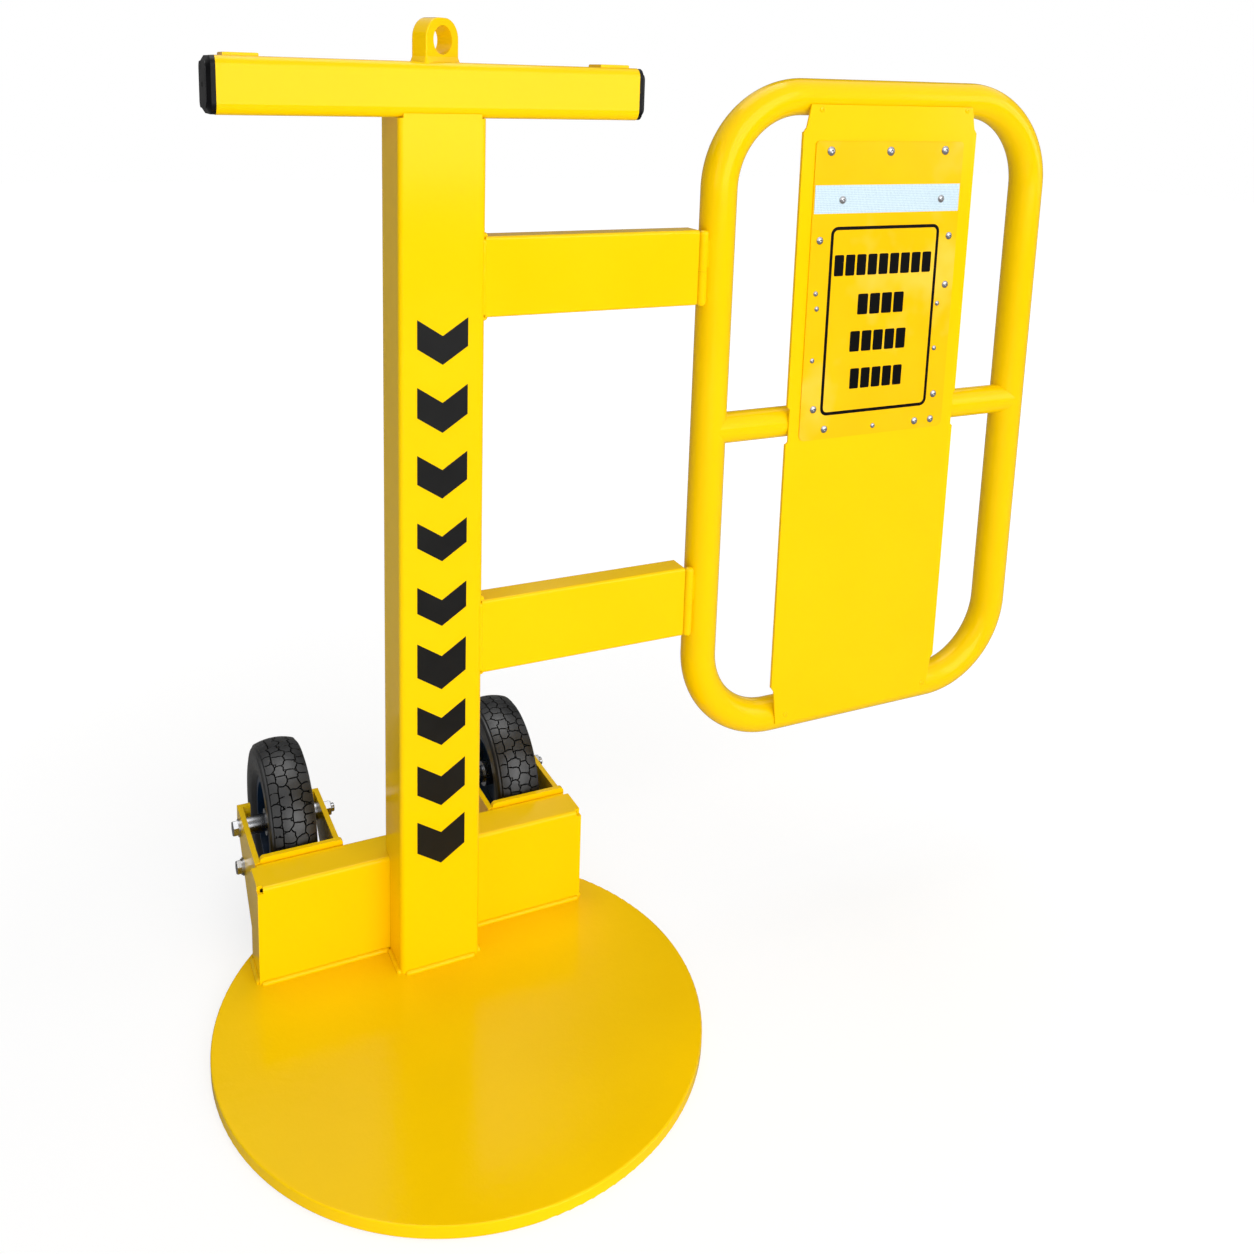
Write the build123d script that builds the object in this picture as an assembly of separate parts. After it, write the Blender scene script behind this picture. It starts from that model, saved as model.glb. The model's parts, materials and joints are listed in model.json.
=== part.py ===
from build123d import *
import math
import os

# Frame: origin on the ground under the centre of the base disc,
# +X toward the gate leaf, +Y toward the wheels, +Z up.

# Base disc
DISC_DIAMETER = 600.0
DISC_THICKNESS = 16.0
DISC_RIM_ROUND = 2.0

# Post and its closing plate
POST_WIDTH = 106.0
POST_DEPTH = 76.0
POST_HEIGHT = 1096.0
POST_WALL = 4.0
POST_CORNER = 6.0
POST_FRONT_Y = 85.0
POST_CAP_THICKNESS = 4.0

# Base beam, folded from sheet and notched round the post
BEAM_LENGTH = 445.0
BEAM_DEPTH = 54.0
BEAM_HEIGHT = 135.5
BEAM_SHEET = 4.0
BEAM_FOLD_ROUND = 5.0
BEAM_BEHIND_POST_FRONT = 53.0
BEAM_CORNER_RELIEF = 7.0

# Weld beads
BEAD_LEG = 5.0
BEAD_END_GAP = 6.0
BEAD_SET_BACK = 0.5

# Crossbar and its end caps
BAR_SIZE = 63.0
BAR_LENGTH = 500.0
BAR_WALL = 4.0
BAR_CORNER = 12.0
CAP_RIM_INSET = 0.5
CAP_RIM_THICKNESS = 5.0
CAP_SLOPE_THICKNESS = 4.0
CAP_PAD_THICKNESS = 1.0
CAP_PAD_SIZE = 50.0
CAP_PAD_CORNER = 8.0
CAP_MARK_DIAMETER = 6.0
CAP_MARK_DEPTH = 0.6
CAP_SPIGOT_GAP = 0.3
CAP_SPIGOT_LENGTH = 25.0
CAP_SPIGOT_WALL = 3.0

# Pads on the crossbar
PAD_LENGTH = 38.0
PAD_DEPTH = 36.0
PAD_HEIGHT = 3.5
PAD_ROUND = 1.5
PAD_FROM_BAR_END = 28.0

# Lifting lug
LUG_WIDTH = 58.0
LUG_HEIGHT = 50.0
LUG_THICKNESS = 22.0
LUG_CORNER = 24.0
LUG_EDGE_ROUND = 1.5
LUG_HOLE_DIAMETER = 33.0
LUG_HOLE_HEIGHT = 25.0
LUG_TURN_DEG = 32.7
LUG_FOOT_DROP = 8.0
LUG_WELD_SPREAD = 5.0
LUG_WELD_RISE = 6.0
LUG_WELD_CORNER = 7.0

# Arms
ARM_HEIGHT = 98.0
ARM_DEPTH = 36.0
ARM_WALL = 4.0
ARM_CORNER = 4.0
ARM_LENGTH = 290.0
ARM_END_PLATE = 5.0
LOWER_ARM_ABOVE_DISC = 400.9
UPPER_ARM_BELOW_BAR = 137.6

# Lift-off hinges
HINGE_DIAMETER = 13.0
HINGE_HEIGHT = 99.0
HINGE_LOWER_LENGTH = 44.5
HINGE_WASHER = 1.0
HINGE_WASHER_CLEARANCE = 0.3
HINGE_RUNNING_GAP = 0.3
HINGE_BULLET_ROUND = 5.0
HINGE_PIN_DIAMETER = 7.0
HINGE_PIN_CLEARANCE = 0.05
HINGE_PIN_DEPTH = 30.0
HINGE_PIN_REACH = 28.0
HINGE_BORE_SPARE = 2.0
HINGE_BELOW_ARM = 1.5
HINGE_ARM_GAP = 1.5
HINGE_BEHIND_POST_FRONT = 3.6
HINGE_WELD_LENGTH = 36.0
HINGE_WELD_WIDTH = 8.0
HINGE_TUBE_GAP = 1.1
HINGE_TUBE_TURN_DEG = 27.6

# Gate leaf tubes
TUBE_DIAMETER = 48.3
TUBE_WALL = 2.6
LEAF_WIDTH = 523.0
LEAF_HEIGHT = 884.4
LEAF_BEND = 120.0
LEAF_FOOT_BELOW_ARM = 155.8
RAIL_DIAMETER = 42.4
RAIL_WALL = 2.6
RAIL_ABOVE_LEAF_FOOT = 441.6

# Centre panel: flat sheet with narrower tabs and side returns
PANEL_SHEET = 2.5
PANEL_WIDTH = 290.0
PANEL_OFF_CENTRE = -8.0
PANEL_BELOW_TUBE_LINE = 4.3
PANEL_SHORT_OF_TOP_LINE = 9.1
PANEL_TAB_WIDTH = 269.0
PANEL_TAB_SHOULDER_WIDTH = 281.0
PANEL_TAB_LENGTH = 36.0
PANEL_TAB_STEP = 6.0
PANEL_FOOT_TAB_LENGTH = 58.0
PANEL_RETURN_DEPTH = 4.5
PANEL_RAIL_NOTCH = 3.5
PANEL_RAIL_NOTCH_HALF = 23.0
PANEL_LIP_DEPTH = 3.4

# Sign plate and reflective strip
SIGN_WIDTH = 247.0
SIGN_HEIGHT = 410.0
SIGN_SHEET = 2.0
SIGN_OFF_PANEL = -1.5
SIGN_BELOW_PANEL_TOP = 47.4
SIGN_TOP_CORNER = 5.0
SIGN_FOOT_CORNER = 9.0
STRIP_WIDTH = 243.0
STRIP_HEIGHT = 38.0
STRIP_FILM = 0.6
STRIP_BELOW_SIGN_TOP = 58.0

# Rivets: head diameter, head height
SHANK_DIAMETER = 4.0
SHANK_CLEARANCE = 0.1
TAIL_DIAMETER = 5.0
TAIL_LENGTH = 0.9
WIDE_HEAD = (13.0, 3.2)
DOME_HEAD = (11.0, 3.0)
SMALL_HEAD = (7.6, 2.2)
PANEL_HEAD = (8.0, 1.4)
PANEL_RIVET_LENGTH = 12.0
PANEL_RIVET_PIN = 2.0
PANEL_RIVET_PIN_DEPTH = 1.0

# Rivet places: shares of the plate's width from its centre line and of its height from its lower edge
WIDE_RIVET_SHARES = ((-0.403, 0.968), (-0.008, 0.968), (0.37, 0.971))
DOME_RIVET_SHARES = (
    (-0.443, 0.678),
    (0.443, 0.68),
    (0.444, 0.51),
    (-0.418, 0.107),
    (-0.336, 0.034),
    (0.299, 0.028),
    (0.415, 0.029),
    (0.423, 0.12),
)
SMALL_RIVET_SHARES = (
    (-0.449, 0.502),
    (-0.436, 0.451),
    (0.398, 0.445),
    (0.402, 0.286),
    (-0.445, 0.276),
    (0.0, 0.028),
)
STRIP_RIVET_SHARES = ((-0.316, 0.476), (0.37, 0.453))
PANEL_RIVET_SHARES = ((-0.407, 0.0138), (0.441, 0.0157), (-0.406, 0.993), (0.432, 0.995))

# Wheels
WHEEL_PLACE_X = 160.0
WHEEL_BEHIND_BEAM = 121.0
WHEEL_ABOVE_GROUND = 20.5
TYRE_DIAMETER = 220.0
TYRE_WIDTH = 62.0
TYRE_SHOULDER_DROP = 5.0
TYRE_TREAD_WIDTH = 54.0
TYRE_WIDEST_DROP = 26.0
TYRE_BEAD_WIDTH = 40.0
TYRE_TREAD_THICKNESS = 9.0
TYRE_WALL = 6.0
TYRE_BEAD_HEIGHT = 6.0
RIM_DIAMETER = 114.0
RIM_SHEET = 3.0
RIM_FLANGE_HEIGHT = 5.0
HUB_DIAMETER = 36.0
HUB_LENGTH = 44.0
BEARING_OUTER = 28.0
BEARING_WIDTH = 8.0
AXLE_DIAMETER = 12.0
AXLE_RUNNING_CLEARANCE = 0.05
AXLE_HOLE_CLEARANCE = 0.3

# Wheel brackets
BRACKET_WIDTH = 113.0
BRACKET_PLATE = 7.0
BRACKET_ABOVE_DISC = 8.0
BRACKET_LIP_RISE = 6.5
BRACKET_LIP_ROUND = 5.0
BRACKET_LIP_OVERHANG = 2.0
BRACKET_FLANGE_WIDTH = 17.4
BRACKET_FLANGE_HEIGHT = 25.5
BRACKET_DEPTH = 143.5
BRACKET_SLOPE_SHARES = ((0.878, 0.69), (0.732, 0.533), (0.537, 0.314), (0.39, 0.173), (0.209, 0.0))

# Axle and stop bolt hardware
AXLE_HEX = 19.0
AXLE_HEAD = 7.5
AXLE_NUT = 10.0
AXLE_WASHER_DIAMETER = 24.0
AXLE_WASHER = 2.5
AXLE_END_STICKOUT = 5.0
SPACER_DIAMETER = 25.0
SPACER_BEARING_GAP = 0.3
STOP_BOLT_DIAMETER = 10.0
STOP_BOLT_AHEAD = 28.0
STOP_BOLT_BELOW = 41.5
STOP_HEX = 17.0
STOP_HEAD = 6.4
STOP_NUT = 8.0
STOP_WASHERS = ((24.0, 2.0), (21.0, 2.0))
STOP_END_REACH = 16.5
STOP_END_ROUND = 3.0
HEX_EDGE_ROUND = 0.8

# One overrun past a face serves every cut
OVERRUN = 1.0

# Places that follow from the sizes above
POST_CENTRE_Y = POST_FRONT_Y + POST_DEPTH / 2
POST_TOP_Z = DISC_THICKNESS + POST_HEIGHT
BEAM_FRONT_Y = POST_FRONT_Y + BEAM_BEHIND_POST_FRONT
BEAM_BACK_Y = BEAM_FRONT_Y + BEAM_DEPTH
BEAM_TOP_Z = DISC_THICKNESS + BEAM_HEIGHT
BAR_CENTRE_Y = POST_FRONT_Y + BAR_SIZE / 2
BAR_CENTRE_Z = POST_TOP_Z + BAR_SIZE / 2
BAR_TOP_Z = POST_TOP_Z + BAR_SIZE
PAD_X = BAR_LENGTH / 2 - PAD_FROM_BAR_END
UPPER_ARM_BOTTOM_Z = POST_TOP_Z - UPPER_ARM_BELOW_BAR - ARM_HEIGHT
ARM_BOTTOMS_Z = (DISC_THICKNESS + LOWER_ARM_ABOVE_DISC, UPPER_ARM_BOTTOM_Z)
ARM_END_X = POST_WIDTH / 2 + ARM_LENGTH
HINGE_X = ARM_END_X + HINGE_ARM_GAP + HINGE_DIAMETER / 2
HINGE_Y = POST_FRONT_Y + HINGE_BEHIND_POST_FRONT
HINGE_FEET_Z = tuple(bottom - HINGE_BELOW_ARM for bottom in ARM_BOTTOMS_Z)
UPPER_KNUCKLE_START = HINGE_LOWER_LENGTH + HINGE_WASHER + HINGE_RUNNING_GAP
HINGE_TUBE_REACH = HINGE_DIAMETER / 2 + HINGE_TUBE_GAP + TUBE_DIAMETER / 2
LEAF_LEFT_X = HINGE_X + HINGE_TUBE_REACH * math.cos(math.radians(HINGE_TUBE_TURN_DEG))
LEAF_RIGHT_X = LEAF_LEFT_X + LEAF_WIDTH
LEAF_Y = HINGE_Y + HINGE_TUBE_REACH * math.sin(math.radians(HINGE_TUBE_TURN_DEG))
LEAF_BOTTOM_Z = ARM_BOTTOMS_Z[0] - LEAF_FOOT_BELOW_ARM
LEAF_TOP_Z = LEAF_BOTTOM_Z + LEAF_HEIGHT
RAIL_Z = LEAF_BOTTOM_Z + RAIL_ABOVE_LEAF_FOOT
PANEL_CENTRE_X = LEAF_LEFT_X + LEAF_WIDTH / 2 + PANEL_OFF_CENTRE
PANEL_BOTTOM_Z = LEAF_BOTTOM_Z - PANEL_BELOW_TUBE_LINE
PANEL_TOP_Z = LEAF_TOP_Z - PANEL_SHORT_OF_TOP_LINE
PANEL_HEIGHT = PANEL_TOP_Z - PANEL_BOTTOM_Z
PANEL_BACK_Y = LEAF_Y - TUBE_DIAMETER / 2
PANEL_FRONT_Y = PANEL_BACK_Y - PANEL_SHEET
SIGN_CENTRE_X = PANEL_CENTRE_X + SIGN_OFF_PANEL
SIGN_BOTTOM_Z = PANEL_TOP_Z - SIGN_BELOW_PANEL_TOP - SIGN_HEIGHT
STRIP_BOTTOM_Z = SIGN_BOTTOM_Z + SIGN_HEIGHT - STRIP_BELOW_SIGN_TOP - STRIP_HEIGHT
SIGN_FRONT_Y = PANEL_FRONT_Y - SIGN_SHEET
STRIP_FRONT_Y = SIGN_FRONT_Y - STRIP_FILM
RAIL_Y = PANEL_BACK_Y + RAIL_DIAMETER / 2
WHEEL_Y = BEAM_BACK_Y + WHEEL_BEHIND_BEAM
WHEEL_Z = WHEEL_ABOVE_GROUND + TYRE_DIAMETER / 2
CHEEK_INNER = BRACKET_WIDTH / 2 - BRACKET_PLATE
BRACKET_FOOT_Z = DISC_THICKNESS + BRACKET_ABOVE_DISC
BRACKET_REAR_Y = BEAM_BACK_Y + BRACKET_DEPTH
STOP_BOLT_Y = WHEEL_Y - STOP_BOLT_AHEAD
STOP_BOLT_Z = WHEEL_Z - STOP_BOLT_BELOW


def block(x_range, y_range, z_range):
    """Box between two limits on each axis."""
    size = [high - low for low, high in (x_range, y_range, z_range)]
    middle = [(high + low) / 2 for low, high in (x_range, y_range, z_range)]
    return Pos(*middle) * Box(*size)


def rod_x(diameter, x_range, y, z):
    """Round rod along X."""
    low, high = x_range
    return Pos((low + high) / 2, y, z) * Rot(0, 90, 0) * Cylinder(diameter / 2, high - low)


def rod_y(diameter, y_range, x, z):
    """Round rod along Y."""
    low, high = y_range
    return Pos(x, (low + high) / 2, z) * Rot(90, 0, 0) * Cylinder(diameter / 2, high - low)


def rod_z(diameter, z_range, x, y):
    """Round rod along Z."""
    low, high = z_range
    return Pos(x, y, (low + high) / 2) * Cylinder(diameter / 2, high - low)


def hex_x(across_flats, x_range, y, z):
    """Hexagonal head or nut along X with its outline edges softened."""
    low, high = x_range
    outline = RegularPolygon(across_flats / 2, 6, major_radius=False)
    piece = extrude(outline, high - low)
    piece = chamfer(piece.faces().sort_by(Axis.Z)[-1].edges(), HEX_EDGE_ROUND)
    return Pos(low, y, z) * Rot(0, 90, 0) * piece


def prism_x(points_yz, x_range):
    """Solid along X with the given outline in Y and Z."""
    low, high = x_range
    plane = Plane(origin=(low, 0, 0), x_dir=(0, 1, 0), z_dir=(1, 0, 0))
    return extrude(plane * make_face(Polyline(*points_yz, close=True)), high - low)


def fillet_bead(start, end, side_a, side_b):
    """Triangular weld bead from start to end, its legs along side_a and side_b."""
    corner = Vector(*start)
    run = Vector(*end) - corner
    leg_a = corner + Vector(*side_a) * BEAD_LEG
    leg_b = corner + Vector(*side_b) * BEAD_LEG
    outline = make_face(Polyline(corner, leg_a, leg_b, close=True))
    return Solid.extrude(outline.face(), run)


def hollow_section(width, height, length, wall, corner):
    """Hollow rounded rectangle tube along +Z from the origin."""
    outer = RectangleRounded(width, height, corner)
    inner = RectangleRounded(width - 2 * wall, height - 2 * wall, max(corner - wall, wall / 2))
    return extrude(outer - inner, length)


def base_disc():
    """Round base plate with softened rim edges."""
    plate = Pos(0, 0, DISC_THICKNESS / 2) * Cylinder(DISC_DIAMETER / 2, DISC_THICKNESS)
    return fillet(plate.edges().filter_by(GeomType.CIRCLE), DISC_RIM_ROUND)


def post_envelope():
    """Outer shape of the post as a full solid."""
    outline = RectangleRounded(POST_WIDTH, POST_DEPTH, POST_CORNER)
    return Pos(0, POST_CENTRE_Y, DISC_THICKNESS) * extrude(outline, POST_HEIGHT)


def post():
    """Hollow post."""
    tube = hollow_section(POST_WIDTH, POST_DEPTH, POST_HEIGHT, POST_WALL, POST_CORNER)
    return Pos(0, POST_CENTRE_Y, DISC_THICKNESS) * tube


def post_cap():
    """Plate that closes the top of the post, flush inside it."""
    width = POST_WIDTH - 2 * POST_WALL
    depth = POST_DEPTH - 2 * POST_WALL
    outline = RectangleRounded(width, depth, POST_CORNER - POST_WALL)
    return Pos(0, POST_CENTRE_Y, POST_TOP_Z - POST_CAP_THICKNESS) * extrude(outline, POST_CAP_THICKNESS)


def base_beam():
    """Folded beam behind the post, open below, with relief notches at its upper corners."""
    half = BEAM_LENGTH / 2
    outer = block((-half, half), (BEAM_FRONT_Y, BEAM_BACK_Y), (DISC_THICKNESS, BEAM_TOP_Z))
    long_top_edges = outer.faces().sort_by(Axis.Z)[-1].edges().filter_by(Axis.X)
    outer = fillet(long_top_edges, BEAM_FOLD_ROUND)
    hollow = block(
        (-half + BEAM_SHEET, half - BEAM_SHEET),
        (BEAM_FRONT_Y + BEAM_SHEET, BEAM_BACK_Y - BEAM_SHEET),
        (DISC_THICKNESS - OVERRUN, BEAM_TOP_Z - BEAM_SHEET),
    )
    beam = outer - hollow - post_envelope()
    reach = BEAM_CORNER_RELIEF
    for side in (-1, 1):
        for y in (BEAM_FRONT_Y, BEAM_BACK_Y):
            beam -= Pos(side * half, y, BEAM_TOP_Z) * Box(2 * reach, 2 * reach, 2 * reach)
    return beam


def base_welds():
    """Fillet beads where the beam and the post stand on the disc."""
    half_post = POST_WIDTH / 2
    half_beam = BEAM_LENGTH / 2
    floor = DISC_THICKNESS
    up = (0, 0, 1)
    flat = half_post - POST_CORNER
    beads = [
        fillet_bead((-flat, POST_FRONT_Y, floor), (flat, POST_FRONT_Y, floor), (0, -1, 0), up),
        fillet_bead(
            (-half_beam + BEAD_END_GAP, BEAM_BACK_Y, floor),
            (half_beam - BEAD_END_GAP, BEAM_BACK_Y, floor),
            (0, 1, 0),
            up,
        ),
    ]
    for side in (-1, 1):
        outward = (side, 0, 0)
        post_side = side * half_post
        beads.append(
            fillet_bead(
                (post_side, POST_FRONT_Y + POST_CORNER, floor),
                (post_side, BEAM_FRONT_Y - BEAD_END_GAP, floor),
                outward,
                up,
            )
        )
        beads.append(
            fillet_bead(
                (side * (half_post + BEAD_END_GAP), BEAM_FRONT_Y, floor),
                (side * (half_beam - BEAD_END_GAP), BEAM_FRONT_Y, floor),
                (0, -1, 0),
                up,
            )
        )
        beads.append(
            fillet_bead(
                (side * half_beam, BEAM_FRONT_Y + BEAD_END_GAP, floor),
                (side * half_beam, BEAM_BACK_Y - BEAD_END_GAP, floor),
                outward,
                up,
            )
        )
    return Compound(beads)


def bar_envelope():
    """Outer shape of the crossbar as a full solid."""
    outline = RectangleRounded(BAR_SIZE, BAR_SIZE, BAR_CORNER)
    bar = extrude(outline, BAR_LENGTH)
    return Pos(-BAR_LENGTH / 2, BAR_CENTRE_Y, BAR_CENTRE_Z) * Rot(0, 90, 0) * bar


def crossbar():
    """Square hollow crossbar on top of the post."""
    tube = hollow_section(BAR_SIZE, BAR_SIZE, BAR_LENGTH, BAR_WALL, BAR_CORNER)
    return Pos(-BAR_LENGTH / 2, BAR_CENTRE_Y, BAR_CENTRE_Z) * Rot(0, 90, 0) * tube


def crossbar_welds():
    """Beads that fill the grooves under the crossbar's round lower edges."""
    flat = POST_WIDTH / 2 - POST_CORNER
    beads = []
    for side in (-1, 1):
        edge = BAR_CENTRE_Y + side * (BAR_SIZE / 2 - BEAD_SET_BACK)
        inner = BAR_CENTRE_Y + side * (BAR_SIZE / 2 - BAR_CORNER)
        y_range = (min(edge, inner), max(edge, inner))
        bead = block((-flat, flat), y_range, (POST_TOP_Z, POST_TOP_Z + BEAD_LEG))
        beads.append(bead - bar_envelope())
    return Compound([solid for bead in beads for solid in bead.solids()])


def end_cap():
    """Plastic plug: rim, sloping edge, raised pad and hollow spigot, facing +Z from the origin."""
    rim_size = BAR_SIZE - 2 * CAP_RIM_INSET
    rim_outline = RectangleRounded(rim_size, rim_size, BAR_CORNER - CAP_RIM_INSET)
    pad_outline = RectangleRounded(CAP_PAD_SIZE, CAP_PAD_SIZE, CAP_PAD_CORNER)
    slope_top = CAP_RIM_THICKNESS + CAP_SLOPE_THICKNESS
    pad_top = slope_top + CAP_PAD_THICKNESS
    cap = extrude(rim_outline, CAP_RIM_THICKNESS)
    cap += loft([Pos(0, 0, CAP_RIM_THICKNESS) * rim_outline, Pos(0, 0, slope_top) * pad_outline])
    cap += Pos(0, 0, slope_top) * extrude(pad_outline, CAP_PAD_THICKNESS)
    cap -= rod_z(CAP_MARK_DIAMETER, (pad_top - CAP_MARK_DEPTH, pad_top + OVERRUN), 0, 0)
    spigot_size = BAR_SIZE - 2 * BAR_WALL - 2 * CAP_SPIGOT_GAP
    spigot_corner = BAR_CORNER - BAR_WALL - CAP_SPIGOT_GAP
    spigot = hollow_section(spigot_size, spigot_size, CAP_SPIGOT_LENGTH, CAP_SPIGOT_WALL, spigot_corner)
    return cap + Pos(0, 0, -CAP_SPIGOT_LENGTH) * spigot


def end_caps():
    """One plug at each end of the crossbar."""
    caps = []
    for side in (-1, 1):
        place = Pos(side * BAR_LENGTH / 2, BAR_CENTRE_Y, BAR_CENTRE_Z) * Rot(0, side * 90, 0)
        caps.append(place * end_cap())
    return Compound([cap.solid() for cap in caps])


def bar_pads():
    """Two low pads on top of the crossbar near its ends."""
    pads = []
    for side in (-1, 1):
        pad = Pos(side * PAD_X, BAR_CENTRE_Y, BAR_TOP_Z + PAD_HEIGHT / 2)
        pad = pad * Box(PAD_LENGTH, PAD_DEPTH, PAD_HEIGHT)
        pads.append(fillet(pad.faces().sort_by(Axis.Z)[-1].edges(), PAD_ROUND))
    return Compound([pad.solid() for pad in pads])


def lug_place():
    """Place of the lug: foot on the crossbar's top, turned about the vertical."""
    return Pos(0, BAR_CENTRE_Y, BAR_TOP_Z) * Rot(0, 0, LUG_TURN_DEG)


def lug_blank():
    """Lug plate with round upper corners, its foot reaching below the crossbar's top."""
    total = LUG_HEIGHT + LUG_FOOT_DROP
    face = Plane.XZ * Pos(0, total / 2 - LUG_FOOT_DROP) * Rectangle(LUG_WIDTH, total)
    face = fillet(face.vertices().group_by(Axis.Z)[-1], LUG_CORNER)
    plate = extrude(face, LUG_THICKNESS / 2, both=True)
    sides = plate.faces().sort_by(Axis.Y)
    outline_edges = sides[0].edges() + sides[-1].edges()
    above_foot = outline_edges.filter_by(lambda edge: edge.center().Z > -LUG_FOOT_DROP)
    return fillet(above_foot, LUG_EDGE_ROUND)


def lifting_lug():
    """Lifting lug with its round hole, foot fitted to the crossbar."""
    half = LUG_THICKNESS / 2 + OVERRUN
    plate = lug_blank() - rod_y(LUG_HOLE_DIAMETER, (-half, half), 0, LUG_HOLE_HEIGHT)
    return lug_place() * plate - bar_envelope()


def lug_weld():
    """Weld skirt round the lug's foot."""
    height = LUG_FOOT_DROP + LUG_WELD_RISE
    width = LUG_WIDTH + 2 * LUG_WELD_SPREAD
    depth = LUG_THICKNESS + 2 * LUG_WELD_SPREAD
    lean = math.degrees(math.atan2(LUG_WELD_SPREAD, height))
    skirt = extrude(RectangleRounded(width, depth, LUG_WELD_CORNER), height, taper=lean)
    neck = extrude(RectangleRounded(LUG_WIDTH, LUG_THICKNESS, LUG_EDGE_ROUND), height + 2 * OVERRUN)
    ring = skirt - Pos(0, 0, -OVERRUN) * neck
    return lug_place() * Pos(0, 0, -LUG_FOOT_DROP) * ring - bar_envelope()


def arm(bottom):
    """Hollow arm from the post toward the hinge, its lower side at the given height."""
    length = ARM_END_X - ARM_END_PLATE - POST_WIDTH / 2
    tube = hollow_section(ARM_HEIGHT, ARM_DEPTH, length, ARM_WALL, ARM_CORNER)
    return Pos(POST_WIDTH / 2, POST_FRONT_Y + ARM_DEPTH / 2, bottom + ARM_HEIGHT / 2) * Rot(0, 90, 0) * tube


def arm_end_plates():
    """Plates that close the free ends of both arms."""
    plates = []
    for bottom in ARM_BOTTOMS_Z:
        plate = extrude(RectangleRounded(ARM_HEIGHT, ARM_DEPTH, ARM_CORNER), ARM_END_PLATE)
        centre = (ARM_END_X - ARM_END_PLATE, POST_FRONT_Y + ARM_DEPTH / 2, bottom + ARM_HEIGHT / 2)
        plates.append(Pos(*centre) * Rot(0, 90, 0) * plate)
    return Compound([plate.solid() for plate in plates])


def arm_welds():
    """Beads round each arm where it meets the post."""
    side_x = POST_WIDTH / 2
    near = POST_FRONT_Y + POST_CORNER
    far = POST_FRONT_Y + ARM_DEPTH
    beads = []
    for bottom in ARM_BOTTOMS_Z:
        top = bottom + ARM_HEIGHT
        outward = (1, 0, 0)
        for height, away in ((top, 1), (bottom, -1)):
            start = (side_x, near, height)
            end = (side_x, far - ARM_CORNER, height)
            beads.append(fillet_bead(start, end, outward, (0, 0, away)))
        low = (side_x, far, bottom + ARM_CORNER)
        high = (side_x, far, top - ARM_CORNER)
        beads.append(fillet_bead(low, high, outward, (0, 1, 0)))
        groove = block(
            (side_x - POST_CORNER, side_x),
            (POST_FRONT_Y + BEAD_SET_BACK, near),
            (bottom + ARM_CORNER, top - ARM_CORNER),
        )
        beads.append((groove - post_envelope()).solid())
    return Compound(beads)


def lower_knuckles():
    """Arm-side hinge barrels, round at the bottom, bored for the pins."""
    barrels = []
    for foot in HINGE_FEET_Z:
        top = foot + HINGE_LOWER_LENGTH
        barrel = rod_z(HINGE_DIAMETER, (foot, top), HINGE_X, HINGE_Y)
        barrel = fillet(barrel.faces().sort_by(Axis.Z)[0].edges(), HINGE_BULLET_ROUND)
        bore_range = (top - HINGE_PIN_DEPTH, top + OVERRUN)
        barrels.append(barrel - rod_z(HINGE_PIN_DIAMETER, bore_range, HINGE_X, HINGE_Y))
    return Compound([barrel.solid() for barrel in barrels])


def hinge_pins():
    """Pins fixed in the lower barrels and reaching up into the upper ones."""
    pins = []
    for foot in HINGE_FEET_Z:
        seat = foot + HINGE_LOWER_LENGTH
        z_range = (seat - HINGE_PIN_DEPTH, seat + HINGE_PIN_REACH)
        pins.append(rod_z(HINGE_PIN_DIAMETER, z_range, HINGE_X, HINGE_Y))
    return Compound([pin.solid() for pin in pins])


def hinge_washers():
    """Thrust washers that lie on the lower barrels."""
    washers = []
    for foot in HINGE_FEET_Z:
        seat = foot + HINGE_LOWER_LENGTH
        ring = rod_z(HINGE_DIAMETER, (seat, seat + HINGE_WASHER), HINGE_X, HINGE_Y)
        hole = HINGE_PIN_DIAMETER + 2 * HINGE_WASHER_CLEARANCE
        ring -= rod_z(hole, (seat - OVERRUN, seat + HINGE_WASHER + OVERRUN), HINGE_X, HINGE_Y)
        washers.append(ring)
    return Compound([washer.solid() for washer in washers])


def upper_knuckles():
    """Leaf-side hinge barrels, round at the top, with blind running bores."""
    barrels = []
    for foot in HINGE_FEET_Z:
        bottom = foot + UPPER_KNUCKLE_START
        barrel = rod_z(HINGE_DIAMETER, (bottom, foot + HINGE_HEIGHT), HINGE_X, HINGE_Y)
        barrel = fillet(barrel.faces().sort_by(Axis.Z)[-1].edges(), HINGE_BULLET_ROUND)
        bore = HINGE_PIN_DIAMETER + 2 * HINGE_PIN_CLEARANCE
        bore_top = foot + HINGE_LOWER_LENGTH + HINGE_PIN_REACH + HINGE_BORE_SPARE
        barrels.append(barrel - rod_z(bore, (bottom - OVERRUN, bore_top), HINGE_X, HINGE_Y))
    return Compound([barrel.solid() for barrel in barrels])


def hinge_arm_welds():
    """Beads between the arm ends and the lower barrels."""
    half = HINGE_WELD_WIDTH / 2
    beads = []
    for foot in HINGE_FEET_Z:
        top = foot + HINGE_LOWER_LENGTH
        low = top - HINGE_WELD_LENGTH
        bead = block((ARM_END_X, HINGE_X), (POST_FRONT_Y + ARM_CORNER, HINGE_Y + half), (low, top))
        bead -= rod_z(HINGE_DIAMETER, (low - OVERRUN, top + OVERRUN), HINGE_X, HINGE_Y)
        beads.append(bead)
    return Compound([solid for bead in beads for solid in bead.solids()])


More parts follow.
